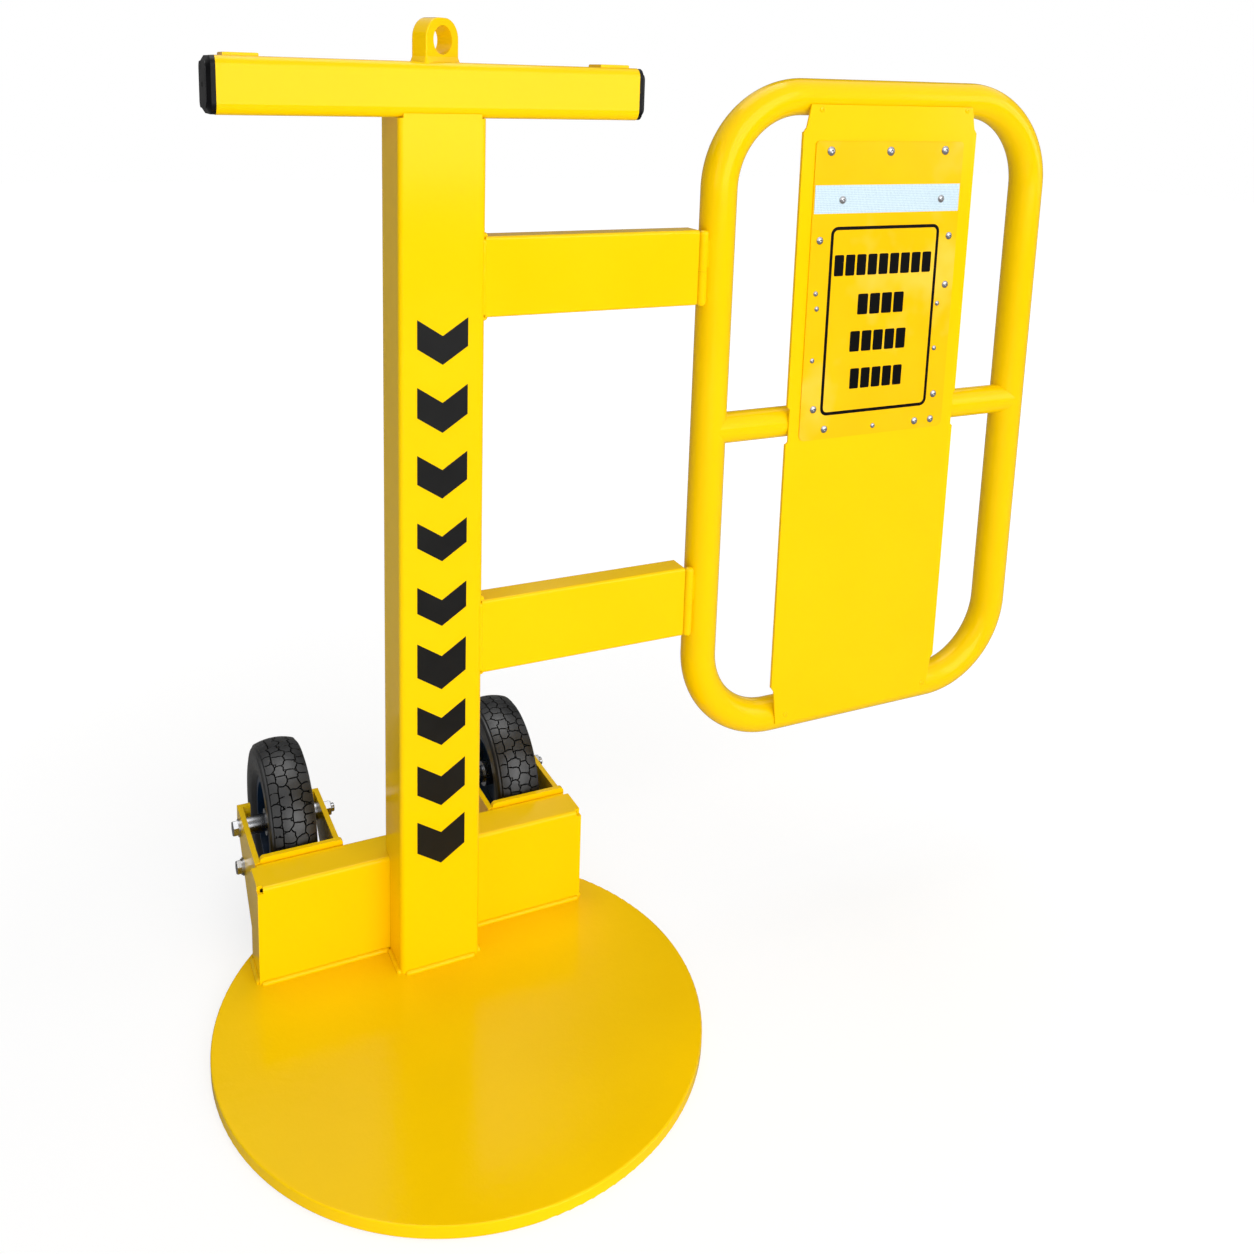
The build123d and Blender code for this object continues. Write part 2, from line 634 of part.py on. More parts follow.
def hinge_leaf_welds():
    """Beads between the leaf's left tube and the upper barrels."""
    beads = []
    for foot in HINGE_FEET_Z:
        low = foot + UPPER_KNUCKLE_START + BEAD_LEG
        high = low + HINGE_WELD_LENGTH
        bar = Pos(HINGE_TUBE_REACH / 2, 0, 0) * Box(HINGE_TUBE_REACH, HINGE_WELD_WIDTH, HINGE_WELD_LENGTH)
        bead = Pos(HINGE_X, HINGE_Y, (low + high) / 2) * Rot(0, 0, HINGE_TUBE_TURN_DEG) * bar
        bead -= rod_z(HINGE_DIAMETER, (low - OVERRUN, high + OVERRUN), HINGE_X, HINGE_Y)
        bead -= rod_z(TUBE_DIAMETER, (low - OVERRUN, high + OVERRUN), LEAF_LEFT_X, LEAF_Y)
        beads.append(bead)
    return Compound([solid for bead in beads for solid in bead.solids()])


def hoop_path():
    """Centre line of the hoop, a rectangle with round corners in the leaf's plane."""
    plane = Plane(
        origin=((LEAF_LEFT_X + LEAF_RIGHT_X) / 2, LEAF_Y, (LEAF_BOTTOM_Z + LEAF_TOP_Z) / 2),
        x_dir=(1, 0, 0),
        z_dir=(0, -1, 0),
    )
    return (plane * RectangleRounded(LEAF_WIDTH, LEAF_HEIGHT, LEAF_BEND)).wire()


def hoop_rod(diameter):
    """Round rod that follows the hoop's centre line."""
    path = hoop_path()
    start = Plane(origin=path @ 0, z_dir=path % 0)
    return sweep(start * Circle(diameter / 2), path=path)


def panel_rivet_places():
    """Places of the panel's corner rivets."""
    return [
        (PANEL_CENTRE_X + x * PANEL_WIDTH, PANEL_BOTTOM_Z + z * PANEL_HEIGHT)
        for x, z in PANEL_RIVET_SHARES
    ]


def sign_places(shares):
    """Places of sign rivets given as shares of the sign plate."""
    return [(SIGN_CENTRE_X + x * SIGN_WIDTH, SIGN_BOTTOM_Z + z * SIGN_HEIGHT) for x, z in shares]


def strip_places():
    """Places of the rivets through the reflective strip."""
    return [
        (SIGN_CENTRE_X + x * STRIP_WIDTH, STRIP_BOTTOM_Z + z * STRIP_HEIGHT)
        for x, z in STRIP_RIVET_SHARES
    ]


def plate_hole_places():
    """Places of every rivet that passes through the sign plate."""
    return sign_places(WIDE_RIVET_SHARES + DOME_RIVET_SHARES + SMALL_RIVET_SHARES) + strip_places()


def shank_holes(places, y_range):
    """Clearance holes for rivet shanks."""
    diameter = SHANK_DIAMETER + 2 * SHANK_CLEARANCE
    return [rod_y(diameter, y_range, x, z) for x, z in places]


def hoop_shell():
    """The whole hoop of round tube, drilled for the panel's corner rivets."""
    hoop = hoop_rod(TUBE_DIAMETER) - hoop_rod(TUBE_DIAMETER - 2 * TUBE_WALL)
    for hole in shank_holes(panel_rivet_places(), (PANEL_FRONT_Y, LEAF_Y)):
        hoop -= hole
    return hoop


def hoop_pieces():
    """Four straight tubes and four bends of the hoop, parted where the bends start."""
    shell = hoop_shell()
    y_range = (LEAF_Y - TUBE_DIAMETER, LEAF_Y + TUBE_DIAMETER)
    x_stops = (
        LEAF_LEFT_X - TUBE_DIAMETER,
        LEAF_LEFT_X + LEAF_BEND,
        LEAF_RIGHT_X - LEAF_BEND,
        LEAF_RIGHT_X + TUBE_DIAMETER,
    )
    z_stops = (
        LEAF_BOTTOM_Z - TUBE_DIAMETER,
        LEAF_BOTTOM_Z + LEAF_BEND,
        LEAF_TOP_Z - LEAF_BEND,
        LEAF_TOP_Z + TUBE_DIAMETER,
    )
    cells = {
        "hoop_lower_left_bend": (0, 0),
        "hoop_left_tube": (0, 1),
        "hoop_upper_left_bend": (0, 2),
        "hoop_top_tube": (1, 2),
        "hoop_upper_right_bend": (2, 2),
        "hoop_right_tube": (2, 1),
        "hoop_lower_right_bend": (2, 0),
        "hoop_bottom_tube": (1, 0),
    }
    pieces = {}
    for name, (column, row) in cells.items():
        cell = block(x_stops[column : column + 2], y_range, z_stops[row : row + 2])
        pieces[name] = (shell & cell).solid()
    return pieces


def mid_rail():
    """Horizontal tube between the hoop's sides, its ends fitted to them."""
    reach = (LEAF_LEFT_X, LEAF_RIGHT_X)
    rail = rod_x(RAIL_DIAMETER, reach, RAIL_Y, RAIL_Z)
    rail -= rod_x(RAIL_DIAMETER - 2 * RAIL_WALL, (reach[0] - OVERRUN, reach[1] + OVERRUN), RAIL_Y, RAIL_Z)
    for x in reach:
        rail -= rod_z(TUBE_DIAMETER, (RAIL_Z - RAIL_DIAMETER, RAIL_Z + RAIL_DIAMETER), x, LEAF_Y)
    return rail


def panel_outline():
    """Outline of the flat sheet, from its centre line, counter-clockwise from lower right."""
    half = PANEL_WIDTH / 2
    shoulder = PANEL_TAB_SHOULDER_WIDTH / 2
    tab = PANEL_TAB_WIDTH / 2
    notch = half - PANEL_RAIL_NOTCH
    foot = PANEL_BOTTOM_Z + PANEL_FOOT_TAB_LENGTH
    neck = PANEL_TOP_Z - PANEL_TAB_LENGTH
    rail_low = RAIL_Z - PANEL_RAIL_NOTCH_HALF
    rail_high = RAIL_Z + PANEL_RAIL_NOTCH_HALF
    right = [
        (tab, PANEL_BOTTOM_Z),
        (shoulder, foot - PANEL_TAB_STEP),
        (half, foot),
        (half, rail_low - PANEL_RAIL_NOTCH),
        (notch, rail_low),
        (notch, rail_high),
        (half, rail_high + PANEL_RAIL_NOTCH),
        (half, neck),
        (shoulder, neck + PANEL_TAB_STEP),
        (tab, PANEL_TOP_Z),
    ]
    left = [(-x, z) for x, z in reversed(right)]
    return right + left


def panel_return(side):
    """Folded strips along one side of the panel's full width, under and over the rail."""
    edge = PANEL_CENTRE_X + side * PANEL_WIDTH / 2
    inner = edge - side * PANEL_SHEET
    x_range = (min(edge, inner), max(edge, inner))
    y_range = (PANEL_FRONT_Y, PANEL_FRONT_Y + PANEL_RETURN_DEPTH)
    low = PANEL_BOTTOM_Z + PANEL_FOOT_TAB_LENGTH
    high = PANEL_TOP_Z - PANEL_TAB_LENGTH
    clear = PANEL_RAIL_NOTCH_HALF + PANEL_RAIL_NOTCH
    strips = [
        block(x_range, y_range, (low, RAIL_Z - clear)),
        block(x_range, y_range, (RAIL_Z + clear, high)),
    ]
    return Compound([strip.solid() for strip in strips])


def centre_panel():
    """Flat panel on the tubes between its side returns, with a lip on the upper tube."""
    plane = Plane(origin=(PANEL_CENTRE_X, PANEL_BACK_Y, 0), x_dir=(1, 0, 0), z_dir=(0, -1, 0))
    panel = extrude(plane * make_face(Polyline(*panel_outline(), close=True)), PANEL_SHEET)
    for side in (-1, 1):
        for strip in panel_return(side).solids():
            panel -= strip
    lip_half = PANEL_TAB_WIDTH / 2
    panel += block(
        (PANEL_CENTRE_X - lip_half, PANEL_CENTRE_X + lip_half),
        (PANEL_FRONT_Y, PANEL_BACK_Y + PANEL_LIP_DEPTH),
        (PANEL_TOP_Z - PANEL_SHEET, PANEL_TOP_Z),
    )
    top_tube = rod_x(TUBE_DIAMETER, (LEAF_LEFT_X, LEAF_RIGHT_X), LEAF_Y, LEAF_TOP_Z)
    panel -= top_tube
    places = panel_rivet_places() + plate_hole_places()
    for hole in shank_holes(places, (PANEL_FRONT_Y - OVERRUN, PANEL_FRONT_Y + PANEL_RETURN_DEPTH)):
        panel -= hole
    return panel


def sign_plate():
    """Sign plate with rounded corners in front of the panel."""
    plane = Plane(
        origin=(SIGN_CENTRE_X, PANEL_FRONT_Y, SIGN_BOTTOM_Z + SIGN_HEIGHT / 2),
        x_dir=(1, 0, 0),
        z_dir=(0, -1, 0),
    )
    face = plane * Rectangle(SIGN_WIDTH, SIGN_HEIGHT)
    face = fillet(face.vertices().group_by(Axis.Z)[-1], SIGN_TOP_CORNER)
    face = fillet(face.vertices().group_by(Axis.Z)[0], SIGN_FOOT_CORNER)
    plate = extrude(face, SIGN_SHEET)
    for hole in shank_holes(plate_hole_places(), (SIGN_FRONT_Y - OVERRUN, PANEL_FRONT_Y + OVERRUN)):
        plate -= hole
    return plate


def reflective_strip():
    """Reflective strip across the upper part of the sign plate."""
    half = STRIP_WIDTH / 2
    strip = block(
        (SIGN_CENTRE_X - half, SIGN_CENTRE_X + half),
        (STRIP_FRONT_Y, SIGN_FRONT_Y),
        (STRIP_BOTTOM_Z, STRIP_BOTTOM_Z + STRIP_HEIGHT),
    )
    for hole in shank_holes(strip_places(), (STRIP_FRONT_Y - OVERRUN, SIGN_FRONT_Y + OVERRUN)):
        strip -= hole
    return strip


def dome(head):
    """Domed rivet head on the origin, bulging toward +Z."""
    diameter, height = head
    radius = diameter / 2
    ball = (radius**2 + height**2) / (2 * height)
    cap = Pos(0, 0, height - ball) * Sphere(ball)
    return cap & Pos(0, 0, height / 2) * Cylinder(radius + OVERRUN, height)


def rivet(head, grip):
    """Rivet facing -Y with its head's flat on the origin: dome, shank through the grip and tail behind."""
    body = Rot(90, 0, 0) * dome(head)
    body += rod_y(SHANK_DIAMETER, (0, grip), 0, 0)
    return body + rod_y(TAIL_DIAMETER, (grip, grip + TAIL_LENGTH), 0, 0)


def rivets(head, places, face_y):
    """Rivets of one kind whose heads lie on the face at face_y."""
    grip = PANEL_BACK_Y - face_y
    return [(Pos(x, face_y, z) * rivet(head, grip)).solid() for x, z in places]


def sign_rivets():
    """Dome rivets of the sign plate, wide ones above and smaller domes round the edge."""
    wide = rivets(WIDE_HEAD, sign_places(WIDE_RIVET_SHARES), SIGN_FRONT_Y)
    return Compound(wide + rivets(DOME_HEAD, sign_places(DOME_RIVET_SHARES), SIGN_FRONT_Y))


def small_rivets():
    """Small rivets of the sign plate."""
    return Compound(rivets(SMALL_HEAD, sign_places(SMALL_RIVET_SHARES), SIGN_FRONT_Y))


def strip_rivets():
    """Two rivets through the reflective strip."""
    return Compound(rivets(DOME_HEAD, strip_places(), STRIP_FRONT_Y))


def panel_rivets():
    """Low rivets at the panel's corners, reaching into the hoop, each with its broken-off pin's dimple."""
    pieces = []
    for x, z in panel_rivet_places():
        body = Rot(90, 0, 0) * dome(PANEL_HEAD)
        body += rod_y(SHANK_DIAMETER, (0, PANEL_RIVET_LENGTH), 0, 0)
        face = -PANEL_HEAD[1]
        body -= rod_y(PANEL_RIVET_PIN, (face - OVERRUN, face + PANEL_RIVET_PIN_DEPTH), 0, 0)
        pieces.append((Pos(x, PANEL_FRONT_Y, z) * body).solid())
    return Compound(pieces)


def wheel_place(side):
    """Place of a wheel's centre on its axle."""
    return Pos(side * WHEEL_PLACE_X, WHEEL_Y, WHEEL_Z)


def turned_about_x(profile):
    """Ring turned about the X axis from a closed outline given as axial place and radius."""
    face = make_face(profile)
    return revolve(face, Axis.X)


def tyre(side):
    """Pneumatic tyre: crowned tread, bulging walls and beads on the rim."""
    outer = TYRE_DIAMETER / 2
    rim = RIM_DIAMETER / 2
    shoulder = outer - TYRE_SHOULDER_DROP
    widest = outer - TYRE_WIDEST_DROP
    bead = TYRE_BEAD_WIDTH / 2
    tread = TYRE_TREAD_WIDTH / 2
    half = TYRE_WIDTH / 2
    wall = TYRE_WALL
    flange = rim + RIM_FLANGE_HEIGHT
    seat_right = Line((bead, rim), (bead, flange))
    lower_right = Spline((bead, flange), (half, widest), tangents=((1, 1), (0, 1)))
    upper_right = Spline((half, widest), (tread, shoulder), tangents=((0, 1), (-1, 1)))
    crown = ThreePointArc((tread, shoulder), (0, outer), (-tread, shoulder))
    upper_left = Spline((-tread, shoulder), (-half, widest), tangents=((-1, -1), (0, -1)))
    lower_left = Spline((-half, widest), (-bead, flange), tangents=((0, -1), (1, -1)))
    seat_left = Line((-bead, flange), (-bead, rim))
    foot_left = Line((-bead, rim), (-bead + wall, rim))
    rise_left = Line((-bead + wall, rim), (-bead + wall, rim + TYRE_BEAD_HEIGHT))
    cavity = Spline(
        (-bead + wall, rim + TYRE_BEAD_HEIGHT),
        (-half + wall, widest),
        (0, outer - TYRE_TREAD_THICKNESS),
        (half - wall, widest),
        (bead - wall, rim + TYRE_BEAD_HEIGHT),
    )
    drop_right = Line((bead - wall, rim + TYRE_BEAD_HEIGHT), (bead - wall, rim))
    foot_right = Line((bead - wall, rim), (bead, rim))
    outside = [seat_right, lower_right, upper_right, crown, upper_left, lower_left, seat_left]
    outline = outside + [foot_left, rise_left, cavity, drop_right, foot_right]
    return wheel_place(side) * turned_about_x(outline)


def rim(side):
    """Rolled rim: the tyre's seat with a flange at each edge."""
    seat = RIM_DIAMETER / 2
    inside = seat - RIM_SHEET
    edge = TYRE_BEAD_WIDTH / 2
    lip = edge + RIM_SHEET
    top = seat + RIM_FLANGE_HEIGHT
    half_outline = [(lip, inside), (lip, top), (edge, top), (edge, seat)]
    mirrored = [(-x, radius) for x, radius in reversed(half_outline)]
    outline = Polyline(*(half_outline + mirrored), close=True)
    return wheel_place(side) * turned_about_x(outline)


def rim_disc(side):
    """Flat disc that joins the rim to the hub."""
    half = RIM_SHEET / 2
    return wheel_place(side) * ring_x(RIM_DIAMETER - 2 * RIM_SHEET, HUB_DIAMETER, (-half, half), 0, 0)


def hub(side):
    """Hub tube that holds the bearings."""
    half = HUB_LENGTH / 2
    return wheel_place(side) * ring_x(HUB_DIAMETER, BEARING_OUTER, (-half, half), 0, 0)


def bearings(side):
    """Two bearings in the ends of the hub, running on the axle bolt."""
    end = HUB_LENGTH / 2
    rings = []
    for face in (-1, 1):
        x_range = sorted((face * end, face * (end - BEARING_WIDTH)))
        ring = rod_x(BEARING_OUTER, x_range, 0, 0)
        bore = AXLE_DIAMETER + 2 * AXLE_RUNNING_CLEARANCE
        ring -= rod_x(bore, (x_range[0] - OVERRUN, x_range[1] + OVERRUN), 0, 0)
        rings.append((wheel_place(side) * ring).solid())
    return Compound(rings)


def cheek_outline(front_y):
    """Outline of a bracket cheek in Y and Z, from its upper front corner."""
    rear_foot = BEAM_TOP_Z - BRACKET_FLANGE_HEIGHT
    height = BEAM_TOP_Z - BRACKET_FOOT_Z
    slope = [
        (BEAM_BACK_Y + y * BRACKET_DEPTH, BRACKET_FOOT_Z + z * height)
        for y, z in BRACKET_SLOPE_SHARES
    ]
    return [
        (front_y, BEAM_TOP_Z),
        (BRACKET_REAR_Y, BEAM_TOP_Z),
        (BRACKET_REAR_Y, rear_foot),
        *slope,
        (front_y, BRACKET_FOOT_Z),
    ]


def bracket(side):
    """Wheel bracket: web with a raised lip, two cheeks with return flanges, bolt holes."""
    outer = BRACKET_WIDTH / 2
    web_back = BEAM_BACK_Y + BRACKET_PLATE
    web = block(
        (-CHEEK_INNER, outer + BRACKET_LIP_OVERHANG),
        (BEAM_BACK_Y, web_back),
        (BRACKET_FOOT_Z, BEAM_TOP_Z + BRACKET_LIP_RISE),
    )
    web = fillet(web.edges().filter_by(Axis.Y).group_by(Axis.Z)[-1], BRACKET_LIP_ROUND)
    body = web + prism_x(cheek_outline(BEAM_BACK_Y), (-outer, -CHEEK_INNER))
    body += prism_x(cheek_outline(web_back), (CHEEK_INNER, outer))
    flange_y = (BRACKET_REAR_Y - BRACKET_PLATE, BRACKET_REAR_Y)
    flange_z = (BEAM_TOP_Z - BRACKET_FLANGE_HEIGHT, BEAM_TOP_Z)
    for face in (-1, 1):
        x_range = sorted((face * outer, face * (outer - BRACKET_FLANGE_WIDTH)))
        body += block(x_range, flange_y, flange_z)
    reach = (-outer - OVERRUN, outer + OVERRUN)
    body -= rod_x(AXLE_DIAMETER + 2 * AXLE_HOLE_CLEARANCE, reach, WHEEL_Y, WHEEL_Z)
    stop_reach = sorted((side * (CHEEK_INNER - OVERRUN), side * (outer + OVERRUN)))
    body -= rod_x(STOP_BOLT_DIAMETER + 2 * AXLE_HOLE_CLEARANCE, stop_reach, STOP_BOLT_Y, STOP_BOLT_Z)
    return Pos(side * WHEEL_PLACE_X, 0, 0) * body


def ring_x(diameter, hole, x_range, y, z):
    """Flat ring or tube along X."""
    low, high = x_range
    return rod_x(diameter, x_range, y, z) - rod_x(hole, (low - OVERRUN, high + OVERRUN), y, z)


def both_wheels(make):
    """The pieces that make(side) returns, placed at the left and at the right wheel."""
    placed = []
    for side in (-1, 1):
        for piece in make(side):
            placed.append((Pos(side * WHEEL_PLACE_X, 0, 0) * piece).solid())
    return Compound(placed)


def axle_bolts():
    """Axle bolts with hexagonal heads at their left ends."""
    outer = BRACKET_WIDTH / 2 + AXLE_WASHER

    def make(_):
        end = outer + AXLE_NUT + AXLE_END_STICKOUT
        shank = rod_x(AXLE_DIAMETER, (-outer, end), WHEEL_Y, WHEEL_Z)
        shank = chamfer(shank.faces().sort_by(Axis.X)[-1].edges(), HEX_EDGE_ROUND)
        head = Rot(0, 0, 180) * hex_x(AXLE_HEX, (outer, outer + AXLE_HEAD), -WHEEL_Y, WHEEL_Z)
        return [head + shank]

    return both_wheels(make)


def axle_nuts():
    """Nuts at the right ends of the axle bolts."""
    start = BRACKET_WIDTH / 2 + AXLE_WASHER

    def make(_):
        nut = hex_x(AXLE_HEX, (start, start + AXLE_NUT), WHEEL_Y, WHEEL_Z)
        return [nut - rod_x(AXLE_DIAMETER, (start - OVERRUN, start + AXLE_NUT + OVERRUN), WHEEL_Y, WHEEL_Z)]

    return both_wheels(make)


def axle_washers():
    """Washers outside the cheeks."""
    outer = BRACKET_WIDTH / 2
    hole = AXLE_DIAMETER + 2 * AXLE_HOLE_CLEARANCE

    def make(_):
        rings = []
        for face in (-1, 1):
            x_range = sorted((face * outer, face * (outer + AXLE_WASHER)))
            rings.append(ring_x(AXLE_WASHER_DIAMETER, hole, x_range, WHEEL_Y, WHEEL_Z))
        return rings

    return both_wheels(make)


def spacer_tubes():
    """Tubes between the cheeks and the hub."""
    hub_end = HUB_LENGTH / 2 + SPACER_BEARING_GAP
    hole = AXLE_DIAMETER + 2 * AXLE_HOLE_CLEARANCE

    def make(_):
        tubes = []
        for face in (-1, 1):
            x_range = sorted((face * hub_end, face * CHEEK_INNER))
            tubes.append(ring_x(SPACER_DIAMETER, hole, x_range, WHEEL_Y, WHEEL_Z))
        return tubes

    return both_wheels(make)


def stop_stack():
    """Thickness of the washers under a stop bolt's head."""
    return sum(thickness for _, thickness in STOP_WASHERS)


def stop_bolts():
    """Short bolts in the outer cheeks, heads outward and round ends toward the tyres."""
    head_start = BRACKET_WIDTH / 2 + stop_stack()

    def make(side):
        tip = CHEEK_INNER - STOP_END_REACH
        shank = rod_x(STOP_BOLT_DIAMETER, (tip, head_start), STOP_BOLT_Y, STOP_BOLT_Z)
        shank = fillet(shank.faces().sort_by(Axis.X)[0].edges(), STOP_END_ROUND)
        head_range = (head_start, head_start + STOP_HEAD)
        bolt = shank + hex_x(STOP_HEX, head_range, STOP_BOLT_Y, STOP_BOLT_Z)
        return [bolt if side > 0 else mirror(bolt, Plane.YZ)]

    return both_wheels(make)


def stop_nuts():
    """Nuts on the stop bolts, against the insides of the outer cheeks."""

    def make(side):
        seat = CHEEK_INNER
        nut = mirror(hex_x(STOP_HEX, (-seat, STOP_NUT - seat), STOP_BOLT_Y, STOP_BOLT_Z), Plane.YZ)
        hole_range = (seat - STOP_NUT - OVERRUN, seat + OVERRUN)
        nut -= rod_x(STOP_BOLT_DIAMETER, hole_range, STOP_BOLT_Y, STOP_BOLT_Z)
        return [nut if side > 0 else mirror(nut, Plane.YZ)]

    return both_wheels(make)


def stop_washers():
    """Washers under the stop bolts' heads."""
    hole = STOP_BOLT_DIAMETER + 2 * AXLE_HOLE_CLEARANCE

    def make(side):
        rings = []
        start = BRACKET_WIDTH / 2
        for diameter, thickness in STOP_WASHERS:
            x_range = sorted((side * start, side * (start + thickness)))
            rings.append(ring_x(diameter, hole, x_range, STOP_BOLT_Y, STOP_BOLT_Z))
            start += thickness
        return rings

    return both_wheels(make)


def wheel(name, side):
    """Every piece of one wheel under its name."""
    return {
        f"{name}_tyre": tyre(side),
        f"{name}_rim": rim(side),
        f"{name}_rim_disc": rim_disc(side),
        f"{name}_hub": hub(side),
        f"{name}_bearings": bearings(side),
    }


def nodes():
    """Every piece of the assembly under its name."""
    lower, upper = ARM_BOTTOMS_Z
    return {
        "base_disc": base_disc(),
        "post": post(),
        "post_cap": post_cap(),
        "base_beam": base_beam(),
        "base_welds": base_welds(),
        "crossbar": crossbar(),
        "crossbar_welds": crossbar_welds(),
        "end_caps": end_caps(),
        "bar_pads": bar_pads(),
        "lifting_lug": lifting_lug(),
        "lug_weld": lug_weld(),
        "lower_arm": arm(lower),
        "upper_arm": arm(upper),
        "arm_end_plates": arm_end_plates(),
        "arm_welds": arm_welds(),
        "hinge_lower_knuckles": lower_knuckles(),
        "hinge_pins": hinge_pins(),
        "hinge_washers": hinge_washers(),
        "hinge_arm_welds": hinge_arm_welds(),
        "left_bracket": bracket(-1),
        "right_bracket": bracket(1),
        "axle_bolts": axle_bolts(),
        "axle_nuts": axle_nuts(),
        "axle_washers": axle_washers(),
        "spacer_tubes": spacer_tubes(),
        "stop_bolts": stop_bolts(),
        "stop_nuts": stop_nuts(),
        "stop_washers": stop_washers(),
        **hoop_pieces(),
        "mid_rail": mid_rail(),
        "centre_panel": centre_panel(),
        "panel_left_return": panel_return(-1),
        "panel_right_return": panel_return(1),
        "sign_plate": sign_plate(),
        "reflective_strip": reflective_strip(),
        "sign_rivets": sign_rivets(),
        "small_rivets": small_rivets(),
        "strip_rivets": strip_rivets(),
        "panel_rivets": panel_rivets(),
        "hinge_upper_knuckles": upper_knuckles(),
        "hinge_leaf_welds": hinge_leaf_welds(),
        **wheel("left", -1),
        **wheel("right", 1),
    }


os.makedirs("parts", exist_ok=True)
for name, shape in nodes().items():
    export_step(shape, f"parts/{name}.step")
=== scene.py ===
import json
import logging
import math
import random
from collections.abc import Callable, Iterator, Sequence
from contextlib import contextmanager
from dataclasses import dataclass, field
from enum import Enum
from typing import Any

import bpy
from mathutils import Matrix, Vector


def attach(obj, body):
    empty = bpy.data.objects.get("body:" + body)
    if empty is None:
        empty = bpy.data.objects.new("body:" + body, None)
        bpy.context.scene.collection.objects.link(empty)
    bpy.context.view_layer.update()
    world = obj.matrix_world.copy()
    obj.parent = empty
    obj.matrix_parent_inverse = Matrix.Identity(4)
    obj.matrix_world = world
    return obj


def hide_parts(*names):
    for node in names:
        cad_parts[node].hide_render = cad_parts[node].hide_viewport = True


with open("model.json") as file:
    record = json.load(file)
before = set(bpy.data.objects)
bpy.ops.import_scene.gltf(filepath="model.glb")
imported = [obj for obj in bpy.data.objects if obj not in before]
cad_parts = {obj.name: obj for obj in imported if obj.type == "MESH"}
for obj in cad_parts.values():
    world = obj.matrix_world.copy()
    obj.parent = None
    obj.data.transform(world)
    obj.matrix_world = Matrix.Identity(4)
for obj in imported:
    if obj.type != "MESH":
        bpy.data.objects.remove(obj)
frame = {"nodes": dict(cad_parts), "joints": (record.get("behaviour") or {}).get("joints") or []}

log = logging.getLogger("swing_gate")

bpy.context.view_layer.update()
MM = 0.001
IMAGE_PIXELS = 1254.0
ONE_OCTAVE = 1.0
BOX_DIGITS = 2

Point = tuple[float, float, float]
Span = tuple[float, float]
Outline = Sequence[Span]
Box = tuple[float, float, float, float]
Colour = tuple[float, float, float, float]


class Body(Enum):
    """Moving and fixed bodies of the gate."""

    STAND = "stand"
    LEAF = "leaf"
    LEFT_WHEEL = "left_wheel"
    RIGHT_WHEEL = "right_wheel"


class Slot(Enum):
    """Finish slots of the record, passed along with the scene's own pieces."""

    YELLOW = "yellow_paint"
    ZINC = "zinc"
    PLASTIC = "black_plastic"
    RUBBER = "tyre_rubber"


class Side(Enum):
    """Sides of the stand, with their sign along X."""

    LEFT = -1
    RIGHT = 1


def tint(red: float, green: float, blue: float) -> Colour:
    """Turn a display colour in 0..255 into scene-linear values.

    Args:
        red: Red on the display scale.
        green: Green on the display scale.
        blue: Blue on the display scale.

    Returns:
        The linear colour with full alpha.
    """

    def channel(value: float) -> float:
        """One display channel made linear."""
        share = value / 255.0
        return share / 12.92 if share <= 0.04045 else ((share + 0.055) / 1.055) ** 2.4

    return (channel(red), channel(green), channel(blue), 1.0)


def grey(level: float) -> Colour:
    """Linear grey of one level."""
    return (level, level, level, 1.0)


def cad_box(node: str) -> tuple[Point, Point]:
    """Measure a CAD node.

    Args:
        node: The node's name.

    Returns:
        Its low and its high corner in millimetres, rounded to a hundredth.
    """
    places = [vertex.co for vertex in frame["nodes"][node].data.vertices]
    low, high = (
        tuple(round(end(place[axis] for place in places) / MM, BOX_DIGITS) for axis in range(3))
        for end in (min, max)
    )
    return low, high


def joint_place(name: str) -> Vector:
    """Place of one of the frame's joints, in millimetres, rounded to a hundredth."""
    joint = next(joint for joint in frame["joints"] if joint["name"] == name)
    return Vector([round(place / MM, BOX_DIGITS) for place in joint["pos_m"]])


class Signal:
    """A shader socket whose arithmetic adds Math nodes."""

    def __init__(self, nodes: "Nodes", socket: bpy.types.NodeSocket) -> None:
        """Wrap one output socket of a node tree."""
        self.nodes = nodes
        self.socket = socket

    def math(self, operation: str, *values: Any) -> "Signal":
        """Add one Math node.

        Args:
            operation: Name of the node's operation.
            values: Its inputs in order, as signals or numbers.

        Returns:
            The node's result.
        """
        sockets = dict(enumerate(values))
        node = self.nodes.add("ShaderNodeMath", {"operation": operation}, sockets)
        return Signal(self.nodes, node.outputs[0])

    def __add__(self, other: Any) -> "Signal":
        """Sum."""
        return self.math("ADD", self, other)

    def __radd__(self, other: Any) -> "Signal":
        """Sum with a number first."""
        return self.math("ADD", other, self)

    def __sub__(self, other: Any) -> "Signal":
        """Difference."""
        return self.math("SUBTRACT", self, other)

    def __rsub__(self, other: Any) -> "Signal":
        """Difference with a number first."""
        return self.math("SUBTRACT", other, self)

    def __mul__(self, other: Any) -> "Signal":
        """Product."""
        return self.math("MULTIPLY", self, other)

    def __rmul__(self, other: Any) -> "Signal":
        """Product with a number first."""
        return self.math("MULTIPLY", other, self)

    def root(self) -> "Signal":
        """Square root of the signal."""
        return self.math("SQRT", self)

    def wave(self) -> "Signal":
        """Sine of the signal."""
        return self.math("SINE", self)

    def at_least(self, floor: Any) -> "Signal":
        """The signal, but never under a floor."""
        return self.math("MAXIMUM", self, floor)

    def at_most(self, ceiling: Any) -> "Signal":
        """The signal, but never over a ceiling."""
        return self.math("MINIMUM", self, ceiling)


